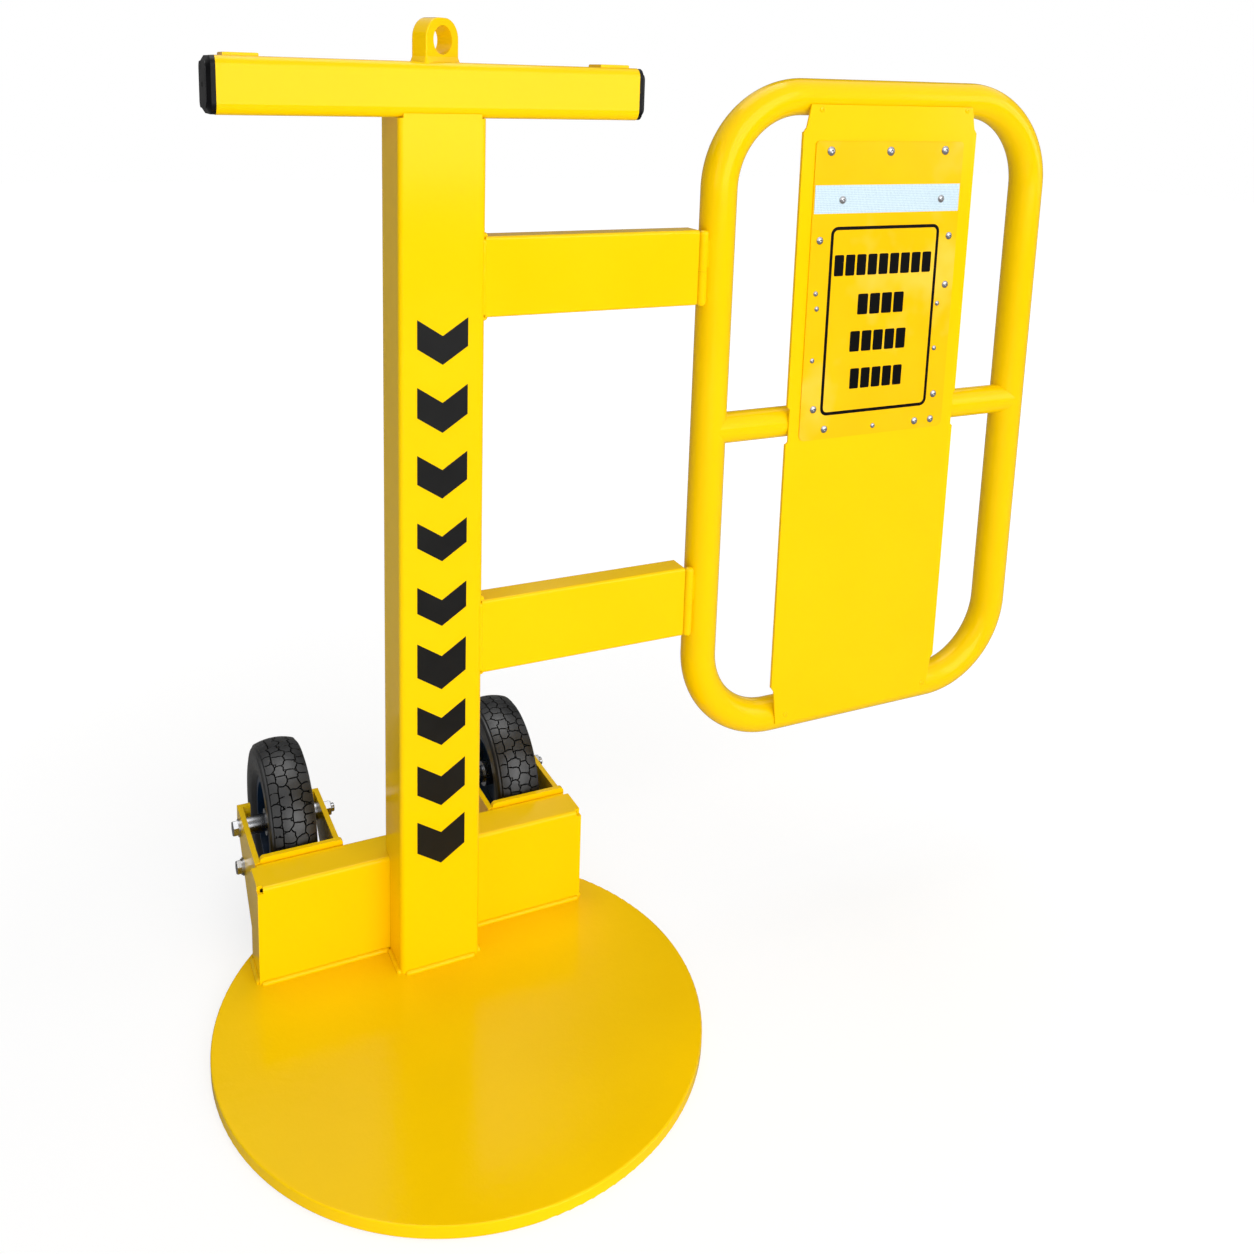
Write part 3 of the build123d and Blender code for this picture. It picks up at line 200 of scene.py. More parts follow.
class Nodes:
    """A node tree that grows through one method."""

    def __init__(self, tree: bpy.types.NodeTree) -> None:
        """Empty a tree and work in it."""
        self.tree = tree
        self.tree.nodes.clear()

    def add(
        self,
        kind: str,
        settings: dict[str, Any] | None = None,
        sockets: dict[Any, Any] | None = None,
    ) -> bpy.types.Node:
        """Add any node.

        Args:
            kind: The node's type.
            settings: Its own settings, set first.
            sockets: Values or links of its inputs, by name or number.

        Returns:
            The new node.
        """
        node = self.tree.nodes.new(kind)
        for key, value in (settings or {}).items():
            setattr(node, key, value)
        for key, value in (sockets or {}).items():
            self.feed(node.inputs[key], value)
        return node

    def feed(self, socket: bpy.types.NodeSocket, value: Any) -> None:
        """Link a signal or socket, or set a constant.

        Args:
            socket: The input to feed.
            value: What goes into it.
        """
        if isinstance(value, Signal):
            self.tree.links.new(value.socket, socket)
        elif isinstance(value, bpy.types.NodeSocket):
            self.tree.links.new(value, socket)
        else:
            socket.default_value = value

    def ray(self, kind: str) -> Signal:
        """1 for rays of one kind, else 0."""
        return Signal(self, self.add("ShaderNodeLightPath").outputs[f"Is {kind} Ray"])


@dataclass(frozen=True)
class Grain:
    """Soft noise: features per metre, octaves and weight of the finer ones."""

    scale: float
    detail: float = 2.0
    rough: float = 0.5


class Shader(Nodes):
    """Node tree of one material round its principled shader."""

    def __init__(self, name: str) -> None:
        """Start an empty material.

        Args:
            name: Its name.
        """
        self.material = bpy.data.materials.new(name)
        self.material.use_nodes = True
        super().__init__(self.material.node_tree)
        self.principled = self.add("ShaderNodeBsdfPrincipled")
        self.output = self.add("ShaderNodeOutputMaterial", None, {0: self.principled.outputs[0]})
        self.place = self.add("ShaderNodeTexCoord").outputs["Object"]

    def set(self, **sockets: Any) -> None:
        """Set sockets of the principled shader, with underscores for spaces."""
        for name, value in sockets.items():
            self.feed(self.principled.inputs[name.replace("_", " ")], value)

    def show(self, node: bpy.types.Node) -> None:
        """Put another shader node in the principled shader's place."""
        self.feed(self.output.inputs[0], node.outputs[0])

    def noise(self, grain: Grain) -> Signal:
        """Soft noise near 0.5.

        Args:
            grain: How fine it is.

        Returns:
            The noise.
        """
        sockets = {
            "Vector": self.place,
            "Scale": grain.scale,
            "Detail": grain.detail,
            "Roughness": grain.rough,
        }
        return Signal(self, self.add("ShaderNodeTexNoise", None, sockets).outputs[0])

    def axis(self, number: int) -> Signal:
        """One of the object's coordinates in metres, 0 for X to 2 for Z."""
        node = self.add("ShaderNodeSeparateXYZ", None, {0: self.place})
        return Signal(self, node.outputs[number])

    def blend(self, share: Any, first: Any, second: Any) -> bpy.types.NodeSocket:
        """Mix two colours by a share.

        Args:
            share: 0 for the first colour to 1 for the second.
            first: A colour or colour socket.
            second: A colour or colour socket.

        Returns:
            The mixed colour.
        """
        node = self.add("ShaderNodeMix", {"data_type": "RGBA"}, {0: share, 6: first, 7: second})
        return node.outputs[2]

    def relief(self, height: Signal, depth: float) -> None:
        """Give the surface a fine relief.

        Args:
            height: Height signal.
            depth: Metres of height per unit of the signal.
        """
        bump = self.add("ShaderNodeBump", None, {"Height": height, "Distance": depth, "Strength": 1.0})
        self.set(Normal=bump.outputs[0])


@dataclass(frozen=True)
class Finish:
    """Surface of two close tones with a fine relief."""

    name: str
    deep: Colour
    bright: Colour
    patches: Grain
    depth: float
    roughness: float
    spread: float
    grain: Grain = Grain(400.0)
    specular: float = 0.5
    sheen: Colour = grey(1.0)
    metallic: float = 0.0

    def make(self) -> bpy.types.Material:
        """Build the material.

        Returns:
            The finished material.
        """
        shader = Shader(self.name)
        shader.set(Specular_IOR_Level=self.specular, Specular_Tint=self.sheen, Metallic=self.metallic)
        self.dress(shader, shader.noise(self.patches))
        return shader.material

    def dress(self, shader: Shader, patches: Signal) -> None:
        """Set what changes over the surface.

        Args:
            shader: The material's shader.
            patches: Broad noise that carries tone and roughness.
        """
        shader.set(Base_Color=shader.blend(patches, self.deep, self.bright))
        shader.set(Roughness=self.roughness + self.spread * patches)
        shader.relief(shader.noise(self.grain), self.depth)


@dataclass(frozen=True)
class PowderCoat(Finish):
    """Glossy powder coat with orange peel."""

    name: str = "powder_coat"
    deep: Colour = tint(246, 199, 1)
    bright: Colour = tint(250, 206, 3)
    patches: Grain = Grain(7.0)
    grain: Grain = Grain(260.0, 2.0, 0.45)
    depth: float = 0.000035
    roughness: float = 0.08
    spread: float = 0.08
    specular: float = 0.32
    sheen: Colour = (1.0, 0.82, 0.34, 1.0)
    peel_spread: float = 0.04
    swell_length: float = 5.0
    swell_height: float = 1.6

    def dress(self, shader: Shader, patches: Signal) -> None:
        """Set tones, gloss and the peel with its broader swell.

        Args:
            shader: The material's shader.
            patches: Broad noise that carries tone and roughness.
        """
        peel = shader.noise(self.grain)
        swell = shader.noise(Grain(self.grain.scale / self.swell_length, ONE_OCTAVE))
        shader.set(Base_Color=shader.blend(patches, self.deep, self.bright))
        shader.set(Roughness=self.roughness + self.spread * patches + self.peel_spread * peel)
        shader.relief(peel + self.swell_height * swell, self.depth)


@dataclass(frozen=True)
class SignSheet(Finish):
    """Glossy coated sheet of the sign, lightly waved, with pale patches of painted reflection."""

    name: str = "sign_sheet"
    deep: Colour = tint(245, 187, 2)
    bright: Colour = tint(250, 198, 4)
    reflection_pale: Colour = tint(252, 212, 92)
    patches: Grain = Grain(12.0)
    grain: Grain = Grain(420.0, ONE_OCTAVE)
    depth: float = 0.0016
    roughness: float = 0.12
    spread: float = 0.14
    specular: float = 0.34
    sheen: Colour = (1.0, 0.9, 0.55, 1.0)
    wave: Grain = Grain(16.0, ONE_OCTAVE)
    grain_share: float = 0.03
    painted_reflection: Grain = Grain(8.0, 3.0, 0.6)
    reflection_start: float = 0.52
    reflection_gain: float = 3.0
    reflection_most: float = 0.5

    def dress(self, shader: Shader, patches: Signal) -> None:
        """Set tones under pale patches of painted reflection, gloss and waves.

        Args:
            shader: The material's shader.
            patches: Broad noise that carries tone and roughness.
        """
        # Pale patches blended into the base colour are painted reflection.
        reflection_cloud = (shader.noise(self.painted_reflection) - self.reflection_start) * self.reflection_gain
        painted_reflection = reflection_cloud.at_least(0.0).at_most(self.reflection_most)
        sheet = shader.blend(patches, self.deep, self.bright)
        shader.set(Base_Color=shader.blend(painted_reflection, sheet, self.reflection_pale))
        shader.set(Roughness=self.roughness + self.spread * patches)
        waves = shader.noise(self.wave) + self.grain_share * shader.noise(self.grain)
        shader.relief(waves, self.depth)


@dataclass(frozen=True)
class ReflectiveFilm(Finish):
    """Silver film with a fine diagonal lattice."""

    name: str = "reflective_film"
    deep: Colour = tint(138, 168, 186)
    bright: Colour = tint(226, 243, 250)
    patches: Grain = Grain(900.0, ONE_OCTAVE)
    depth: float = 0.00004
    roughness: float = 0.3
    spread: float = 0.2
    specular: float = 0.4
    lattice: float = 1350.0
    weight: float = 0.6

    def dress(self, shader: Shader, patches: Signal) -> None:
        """Set the lattice with specks between its cells.

        Args:
            shader: The material's shader.
            patches: Fine specks.
        """
        across, up = shader.axis(0), shader.axis(2)
        rise = ((across + up) * self.lattice).wave()
        fall = ((across - up) * self.lattice).wave()
        cell = (rise * fall) * 0.5 + 0.5
        share = (cell * self.weight + patches * self.weight).at_most(1.0)
        shader.set(Base_Color=shader.blend(share, self.deep, self.bright))
        shader.set(Roughness=self.roughness + self.spread * patches)
        shader.relief(cell, self.depth)


@dataclass(frozen=True)
class PlatedSteel(Finish):
    """Zinc-plated or bright steel with fine rub marks."""

    name: str = "plated_steel"
    deep: Colour = tint(124, 125, 129)
    bright: Colour = tint(176, 177, 179)
    patches: Grain = Grain(70.0, 3.0, 0.55)
    grain: Grain = Grain(600.0, 3.0, 0.6)
    depth: float = 0.00002
    roughness: float = 0.18
    spread: float = 0.16
    metallic: float = 1.0


@dataclass(frozen=True)
class MouldedPlastic(Finish):
    """Black moulded plastic with a faint grain."""

    name: str = "moulded_plastic"
    deep: Colour = tint(7, 7, 8)
    bright: Colour = tint(16, 16, 18)
    patches: Grain = Grain(60.0, 3.0)
    grain: Grain = Grain(1100.0)
    depth: float = 0.00002
    roughness: float = 0.3
    spread: float = 0.2
    specular: float = 0.16


@dataclass(frozen=True)
class TyreRubber(Finish):
    """Black rubber, dusty in patches."""

    name: str = "tyre_rubber"
    deep: Colour = tint(4, 4, 5)
    bright: Colour = tint(16, 17, 19)
    patches: Grain = Grain(120.0, 4.0, 0.6)
    grain: Grain = Grain(1500.0)
    depth: float = 0.00006
    roughness: float = 0.22
    spread: float = 0.3
    specular: float = 0.6

    def dress(self, shader: Shader, patches: Signal) -> None:
        """Let the dust stand out of the surface as well.

        Args:
            shader: The material's shader.
            patches: Noise of the dust.
        """
        shader.set(Base_Color=shader.blend(patches, self.deep, self.bright))
        shader.set(Roughness=self.roughness + self.spread * patches)
        shader.relief(shader.noise(self.grain) + patches, self.depth)


@dataclass(frozen=True)
class RimPaint(Finish):
    """Dark blue paint of the wheel rims."""

    name: str = "rim_paint"
    deep: Colour = tint(10, 30, 54)
    bright: Colour = tint(18, 48, 78)
    patches: Grain = Grain(40.0, 3.0)
    depth: float = 0.00004
    roughness: float = 0.25
    spread: float = 0.15


@dataclass(frozen=True)
class MarkingFilm(Finish):
    """Black film of the marks."""

    name: str = "marking_film"
    deep: Colour = tint(8, 8, 9)
    bright: Colour = tint(20, 20, 20)
    patches: Grain = Grain(30.0, 3.0)
    grain: Grain = Grain(330.0)
    depth: float = 0.00003
    roughness: float = 0.4
    spread: float = 0.14
    specular: float = 0.22


@dataclass
class Paints:
    """One material of each finish, made once."""

    coat: bpy.types.Material
    coarse: bpy.types.Material
    bead: bpy.types.Material
    sign: bpy.types.Material
    film: bpy.types.Material
    steel: bpy.types.Material
    rivet: bpy.types.Material
    plastic: bpy.types.Material
    rubber: bpy.types.Material
    blue: bpy.types.Material
    black: bpy.types.Material
    ink: bpy.types.Material

    @classmethod
    def mixed(cls) -> "Paints":
        """Make every material.

        Returns:
            The full set.
        """
        coarse = PowderCoat("powder_coat_coarse", grain=Grain(330.0, 2.0, 0.45), depth=0.00013)
        bead = PowderCoat("powder_coat_on_weld", grain=Grain(240.0, 2.0, 0.45), depth=0.00012)
        rivet_tones = {"bright": tint(214, 214, 216), "deep": tint(150, 150, 154)}
        ink_tones = {"bright": tint(7, 7, 7), "deep": tint(2, 2, 2)}
        return cls(
            coat=PowderCoat().make(),
            coarse=coarse.make(),
            bead=bead.make(),
            sign=SignSheet().make(),
            film=ReflectiveFilm().make(),
            steel=PlatedSteel().make(),
            rivet=PlatedSteel("bright_rivet", roughness=0.1, **rivet_tones).make(),
            plastic=MouldedPlastic().make(),
            rubber=TyreRubber().make(),
            blue=RimPaint().make(),
            black=MarkingFilm().make(),
            ink=MarkingFilm("printed_ink", specular=0.08, **ink_tones).make(),
        )


class Bench:
    """Modelling steps that the sub-assemblies share."""

    merge_reach = 0.004 * MM

    @staticmethod
    def clear() -> None:
        """Deselect every object."""
        bpy.ops.object.select_all(action="DESELECT")

    @classmethod
    def only(cls, obj: bpy.types.Object) -> None:
        """Select one object and nothing else.

        Args:
            obj: The object.
        """
        cls.clear()
        obj.select_set(True)
        bpy.context.view_layer.objects.active = obj

    @staticmethod
    def named(name: str) -> bpy.types.Object:
        """Name the object that is active, such as a new primitive.

        Args:
            name: The name for it and its mesh.

        Returns:
            The object.
        """
        obj = bpy.context.object
        obj.name = name
        obj.data.name = name
        return obj

    @classmethod
    def settle(cls, obj: bpy.types.Object) -> bpy.types.Object:
        """Put the object's place, turn and scale into its mesh.

        Args:
            obj: The object.

        Returns:
            The same object, now at the origin.
        """
        cls.only(obj)
        bpy.ops.object.transform_apply(location=True, rotation=True, scale=True)
        return obj

    @classmethod
    def drum(cls, name: str, radius: float, length: float, sides: int) -> bpy.types.Object:
        """Cylinder along X from the origin.

        Args:
            name: The piece's name.
            radius: Its radius in metres.
            length: Its length in metres.
            sides: Number of its side faces.

        Returns:
            The cylinder.
        """
        cls.clear()
        bpy.ops.mesh.primitive_cylinder_add(
            vertices=sides,
            radius=radius,
            depth=length,
            location=(length / 2, 0, 0),
            rotation=(0, math.pi / 2, 0),
        )
        return cls.settle(cls.named(name))

    @classmethod
    @contextmanager
    def editing(cls, obj: bpy.types.Object, kind: str = "FACE") -> Iterator[None]:
        """Edit mode on one object.

        Args:
            obj: The object.
            kind: What is selected: VERT, EDGE or FACE.

        Returns:
            A context that ends in object mode.
        """
        cls.only(obj)
        bpy.ops.object.mode_set(mode="EDIT")
        bpy.ops.mesh.select_mode(type=kind)
        yield
        bpy.ops.object.mode_set(mode="OBJECT")

    @staticmethod
    def unpick(mesh: bpy.types.Mesh) -> None:
        """Deselect every point, edge and face of a mesh, in object mode."""
        for group in (mesh.vertices, mesh.edges, mesh.polygons):
            group.foreach_set("select", [False] * len(group))

    @classmethod
    def pick(cls, obj: bpy.types.Object, wanted: Callable[[Any], bool]) -> None:
        """Select the faces that pass a test, in object mode.

        Args:
            obj: The piece.
            wanted: Test of one face.
        """
        cls.unpick(obj.data)
        for face in obj.data.polygons:
            if wanted(face):
                face.select = True
                for vertex in face.vertices:
                    obj.data.vertices[vertex].select = True

    @classmethod
    def pick_edges(cls, obj: bpy.types.Object, wanted: Callable[[Any], bool]) -> None:
        """Select the edges that pass a test, in object mode.

        Args:
            obj: The piece.
            wanted: Test of one edge.
        """
        cls.unpick(obj.data)
        for edge in obj.data.edges:
            if wanted(edge):
                edge.select = True
                for vertex in edge.vertices:
                    obj.data.vertices[vertex].select = True

    @classmethod
    def modify(cls, obj: bpy.types.Object, kind: str, **settings: Any) -> bpy.types.Object:
        """Add one modifier and apply it.

        Args:
            obj: The piece.
            kind: The modifier's type.
            settings: The modifier's own settings.

        Returns:
            The piece.
        """
        modifier = obj.modifiers.new(kind, kind)
        for key, value in settings.items():
            setattr(modifier, key, value)
        cls.only(obj)
        bpy.ops.object.modifier_apply(modifier=modifier.name)
        return obj

    @classmethod
    def smooth(cls, obj: bpy.types.Object, angle: float) -> bpy.types.Object:
        """Smooth the shading over shallow edges.

        Args:
            obj: The piece.
            angle: Steepest edge that is smoothed, in degrees.

        Returns:
            The piece.
        """
        cls.only(obj)
        bpy.ops.object.shade_smooth_by_angle(angle=math.radians(angle))
        return obj

    @classmethod
    def thicken(cls, obj: bpy.types.Object, lift: float) -> bpy.types.Object:
        """Give a flat upright shape its thickness toward the front.

        Args:
            obj: The flat shape.
            lift: Its thickness in metres.

        Returns:
            The shape, now a thin solid.
        """
        with cls.editing(obj):
            bpy.ops.mesh.select_all(action="SELECT")
            bpy.ops.mesh.normals_make_consistent(inside=False)
        facing_front = obj.data.polygons[0].normal.y < 0
        return cls.modify(obj, "SOLIDIFY", thickness=lift, offset=1.0 if facing_front else -1.0)

    @classmethod
    def turned(cls, name: str, outline: Outline, steps: int) -> bpy.types.Object:
        """Turn an outline about the X axis.

        Args:
            name: The piece's name.
            outline: Places along the axis and radii; a closed outline repeats its first point.
            steps: Steps of the full turn.

        Returns:
            The turned piece, closed, its faces outward.
        """
        cls.clear()
        bpy.ops.mesh.primitive_plane_add(size=MM, location=(0, 0, 0))
        obj = cls.named(name)
        start = outline[0]
        with cls.editing(obj, "VERT"):
            bpy.ops.mesh.select_all(action="SELECT")
            bpy.ops.mesh.merge(type="CENTER")
            bpy.ops.transform.translate(value=(start[0], 0, start[1]))
            for before, after in zip(outline, outline[1:]):
                step = (after[0] - before[0], 0, after[1] - before[1])
                bpy.ops.mesh.extrude_region_move(TRANSFORM_OT_translate={"value": step})
            bpy.ops.mesh.select_all(action="SELECT")
            bpy.ops.mesh.spin(steps=steps, angle=math.tau, center=(0, 0, 0), axis=(1, 0, 0))
            bpy.ops.mesh.select_all(action="SELECT")
            bpy.ops.mesh.remove_doubles(threshold=cls.merge_reach)
            bpy.ops.mesh.normals_make_consistent(inside=False)
        return obj

    @staticmethod
    def copy(obj: bpy.types.Object, name: str, place: Matrix) -> bpy.types.Object:
        """Copy a piece with its own mesh.

        Args:
            obj: The model.
            name: The copy's name.
            place: Matrix that moves the copy's mesh.

        Returns:
            The copy.
        """
        twin = obj.copy()
        twin.data = obj.data.copy()
        twin.name = twin.data.name = name
        twin.data.transform(place)
        bpy.context.scene.collection.objects.link(twin)
        return twin

    @classmethod
    def join(cls, name: str, pieces: Sequence[bpy.types.Object]) -> bpy.types.Object:
        """Join pieces into one.

        Args:
            name: The name of the whole.
            pieces: Two or more pieces.

        Returns:
            The whole.
        """
        cls.clear()
        for piece in pieces:
            piece.select_set(True)
        bpy.context.view_layer.objects.active = pieces[0]
        bpy.ops.object.join()
        return cls.named(name)

    @classmethod
    def repeated(
        cls, name: str, model: bpy.types.Object, places: Sequence[Matrix]
    ) -> bpy.types.Object:
        """Copies of a model as one piece; the model is removed.

        Args:
            name: The piece's name.
            model: The model.
            places: Where the copies go.

        Returns:
            The copies, joined.
        """
        copies = [cls.copy(model, f"{name}_{i}", place) for i, place in enumerate(places)]
        bpy.data.objects.remove(model)
        return cls.join(name, copies)


def fit(
    obj: bpy.types.Object,
    paint: bpy.types.Material,
    slot: Slot,
    body: Body,
    *nodes: str,
) -> bpy.types.Object:
    """Paint a piece and let it ride.

    Args:
        obj: The finished piece.
        paint: Its material.
        slot: The record's slot for its finish; not used.
        body: The body that carries it.
        nodes: CAD nodes that it stands for.

    Returns:
        The piece.
    """
    obj.data.materials.clear()
    obj.data.materials.append(paint)
    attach(obj, body.value)
    if nodes:
        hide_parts(*nodes)
    log.info("%s rides on %s, %d faces", obj.name, body.value, len(obj.data.polygons))
    return obj


def repaint(paint: bpy.types.Material, *nodes: str) -> None:
    """Give CAD nodes a material in their own slots.

    Args:
        paint: The material.
        nodes: Names of the nodes.
    """
    for name in nodes:
        obj = frame["nodes"][name]
        if not obj.material_slots:
            obj.data.materials.append(paint)
        for held in obj.material_slots:
            held.material = paint
        log.info("%s painted with %s", name, paint.name)


@dataclass
class Tyre:
    """Air-filled tyre with a tread of uneven blocks between wavy grooves."""

    radius: float = 110.0
    tread_half: float = 27.0
    shoulder_drop: float = 5.0
    rows: int = 180
    columns: int = 14
    tread_band: float = 0.6
    edge_slack: float = 0.01
    edge_margin: float = 0.1
    block_columns: tuple[float, ...] = (-22.5, -8.0, 7.0, 22.0)
    block_rows: int = 46
    scatter: float = 3.4
    scatter_across: float = 0.8
    search_reach: float = 30.0
    border_reach: float = 2.3
    border_waves: tuple[Span, Span] = ((0.55, 1.3), (0.45, 1.1))
    groove_half: float = 1.0
    groove_depth: float = 3.2
    merge_reach: float = 0.02
    crease: float = 28.0
    side_wall: Outline = (
        (29.3, 101.0),
        (30.6, 95.5),
        (30.9, 95.0),
        (31.0, 84.0),
        (30.2, 77.0),
        (28.6, 72.5),
        (28.8, 71.6),
        (27.6, 69.4),
        (24.4, 65.4),
        (20.0, 62.0),
        (20.0, 57.0),
    )
    seed: int = 11

    def crown(self, across: float) -> float:
        """Radius of the tread's surface at a place across it.

        Args:
            across: The place, from the tyre's middle plane, in millimetres.

        Returns:
            The radius in millimetres.
        """
        drop = self.shoulder_drop
        ball = (self.tread_half**2 + drop**2) / (2 * drop)
        return self.radius - ball + math.sqrt(ball**2 - across**2)

    def outline(self) -> list[Span]:
        """Outline of the tyre's section.

        Returns:
            Its points in metres, tread first, closed.
        """
        pitch = 2 * self.tread_half / self.columns
        places = [pitch * number - self.tread_half for number in range(self.columns + 1)]
        tread = [(x, self.crown(x)) for x in places]
        left = [(-x, r) for x, r in reversed(self.side_wall)]
        loop = tread + list(self.side_wall) + left + tread[:1]
        return [(x * MM, r * MM) for x, r in loop]

    def on_tread(self, point: Vector) -> bool:
        """Tell points of the tread's surface from others.

        Args:
            point: A point of the tyre in metres.

        Returns:
            True for a point on the tread.
        """
        across = point.x / MM
        if abs(across) > self.tread_half + self.edge_slack:
            return False
        height = math.hypot(point.y, point.z) / MM
        return abs(height - self.crown(across)) < self.tread_band

    def unrolled(self, point: Vector) -> Vector:
        """Place across the tread and along its girth, in millimetres."""
        turn = math.atan2(point.z, point.y) % math.tau
        return Vector((point.x / MM, turn * self.radius))

    def seeds(self) -> list[Vector]:
        """Scatter the middles of the blocks in staggered columns.

        Returns:
            Their places on the unrolled tread.
        """
        draw = random.Random(self.seed)
        girth = math.tau * self.radius
        pitch = girth / self.block_rows
        middles = []
        for number, column in enumerate(self.block_columns):
            for row in range(self.block_rows):
                across = column + draw.uniform(-1, 1) * self.scatter * self.scatter_across
                along = (row + 0.5 * (number % 2)) * pitch + draw.uniform(-1, 1) * self.scatter
                middles.append(Vector((across, along % girth)))
        return middles

    def nearest(self, place: Vector, middles: Sequence[Vector]) -> list[tuple[float, int, Vector]]:
        """Find the two block middles nearest to a place.

        Args:
            place: A place on the unrolled tread.
            middles: Middles of all blocks.

        Returns:
            Distance, number and place of each, the nearest first.
        """
        girth = math.tau * self.radius
        found = []
        for number, middle in enumerate(middles):
            along = (middle.y - place.y + girth / 2) % girth - girth / 2
            if abs(along) > self.search_reach:
                continue
            spot = Vector((middle.x, place.y + along))
            found.append(((spot - place).length, number, spot))
        return sorted(found, key=lambda item: item[0])[:2]

    def block_of(self, face: bpy.types.MeshPolygon, middles: Sequence[Vector]) -> int:
        """Number of the block that a face lies in, or -1 off the tread."""
        on_tread = self.on_tread(face.center)
        return self.nearest(self.unrolled(face.center), middles)[0][1] if on_tread else -1

    def wave_borders(self, obj: bpy.types.Object, middles: Sequence[Vector]) -> None:
        """Pull grid points near a border onto it, with a small wave along it.

        Args:
            obj: The tyre.
            middles: Middles of all blocks.
        """
        rim = self.tread_half - self.edge_margin
        (height_a, rate_a), (height_b, rate_b) = self.border_waves
        for vertex in obj.data.vertices:
            if not self.on_tread(vertex.co) or abs(vertex.co.x) > rim * MM:
                continue
            place = self.unrolled(vertex.co)
            (_, _, first), (_, _, second) = self.nearest(place, middles)
            normal = (second - first).normalized()
            off = (place - (first + second) / 2).dot(normal)
            if abs(off) > self.border_reach:
                continue
            wave = height_a * math.sin(place.x * rate_a) + height_b * math.sin(place.y * rate_b)
            place -= normal * (off - wave)
            turn = place.y / self.radius
            across = max(-rim, min(rim, place.x))
            reach = self.crown(across) * MM
            vertex.co = (across * MM, reach * math.cos(turn), reach * math.sin(turn))

    def part_blocks(self, obj: bpy.types.Object, numbers: Sequence[int]) -> None:
        """Split the mesh along the borders between blocks.

        Args:
            obj: The tyre.
            numbers: Number of the block of each face.
        """
        sides: dict[tuple[int, int], set[int]] = {}
        for face, block in zip(obj.data.polygons, numbers):
            for key in face.edge_keys:
                sides.setdefault(key, set()).add(block)
        Bench.pick_edges(obj, lambda edge: len(sides[edge.key]) > 1)
        with Bench.editing(obj, "EDGE"):
            bpy.ops.mesh.edge_split(type="EDGE")

    def cut_grooves(self, obj: bpy.types.Object) -> None:
        """Sink the borders between the blocks.

        Args:
            obj: The tyre with its blocks parted.
        """
        Bench.pick(obj, lambda face: self.on_tread(face.center))
        with Bench.editing(obj):
            bpy.ops.mesh.inset(
                thickness=self.groove_half * MM, use_boundary=True, use_even_offset=False
            )
        with Bench.editing(obj, "VERT"):
            bpy.ops.mesh.select_all(action="DESELECT")
            bpy.ops.mesh.select_non_manifold()
        for vertex in obj.data.vertices:
            reach = math.hypot(vertex.co.y, vertex.co.z)
            top = self.crown(vertex.co.x / MM) * MM if self.on_tread(vertex.co) else reach
            goal = top - self.groove_depth * MM if vertex.select else min(reach, top)
            vertex.co.y *= goal / reach
            vertex.co.z *= goal / reach
        with Bench.editing(obj, "VERT"):
            bpy.ops.mesh.select_all(action="SELECT")
            bpy.ops.mesh.remove_doubles(threshold=self.merge_reach * MM)

    def model(self) -> bpy.types.Object:
        """Model the tyre.

        Returns:
            The tyre centred on the origin, its axle along X.
        """
        obj = Bench.turned("tyre_model", self.outline(), self.rows)
        middles = self.seeds()
        numbers = [self.block_of(face, middles) for face in obj.data.polygons]
        self.wave_borders(obj, middles)
        self.part_blocks(obj, numbers)
        self.cut_grooves(obj)
        return Bench.smooth(obj, self.crease)


@dataclass
class Wheels:
    """Both wheels: tyres over the pressed rims."""

    tyre: Tyre = field(default_factory=Tyre)
    left_turn: float = 0.0
    right_turn: float = 47.0

    def build(self, paints: Paints) -> None:
        """Make the tyres and paint the wheels.

        Args:
            paints: The materials.
        """
        model = self.tyre.model()
        turns = {Body.LEFT_WHEEL: self.left_turn, Body.RIGHT_WHEEL: self.right_turn}
        for body, degrees in turns.items():
            turn = Matrix.Rotation(math.radians(degrees), 4, "X")
            place = Matrix.Translation(joint_place(f"{body.value}_roll") * MM)
            tyre = Bench.copy(model, f"{body.value}_treaded_tyre", place @ turn)
            fit(tyre, paints.rubber, Slot.RUBBER, body, body.value.replace("wheel", "tyre"))
        bpy.data.objects.remove(model)
        repaint(paints.blue, *[name for name in frame["nodes"] if "_rim" in name])
        hubs = [name for name in frame["nodes"] if name.endswith(("_hub", "_bearings"))]
        repaint(paints.steel, *hubs)


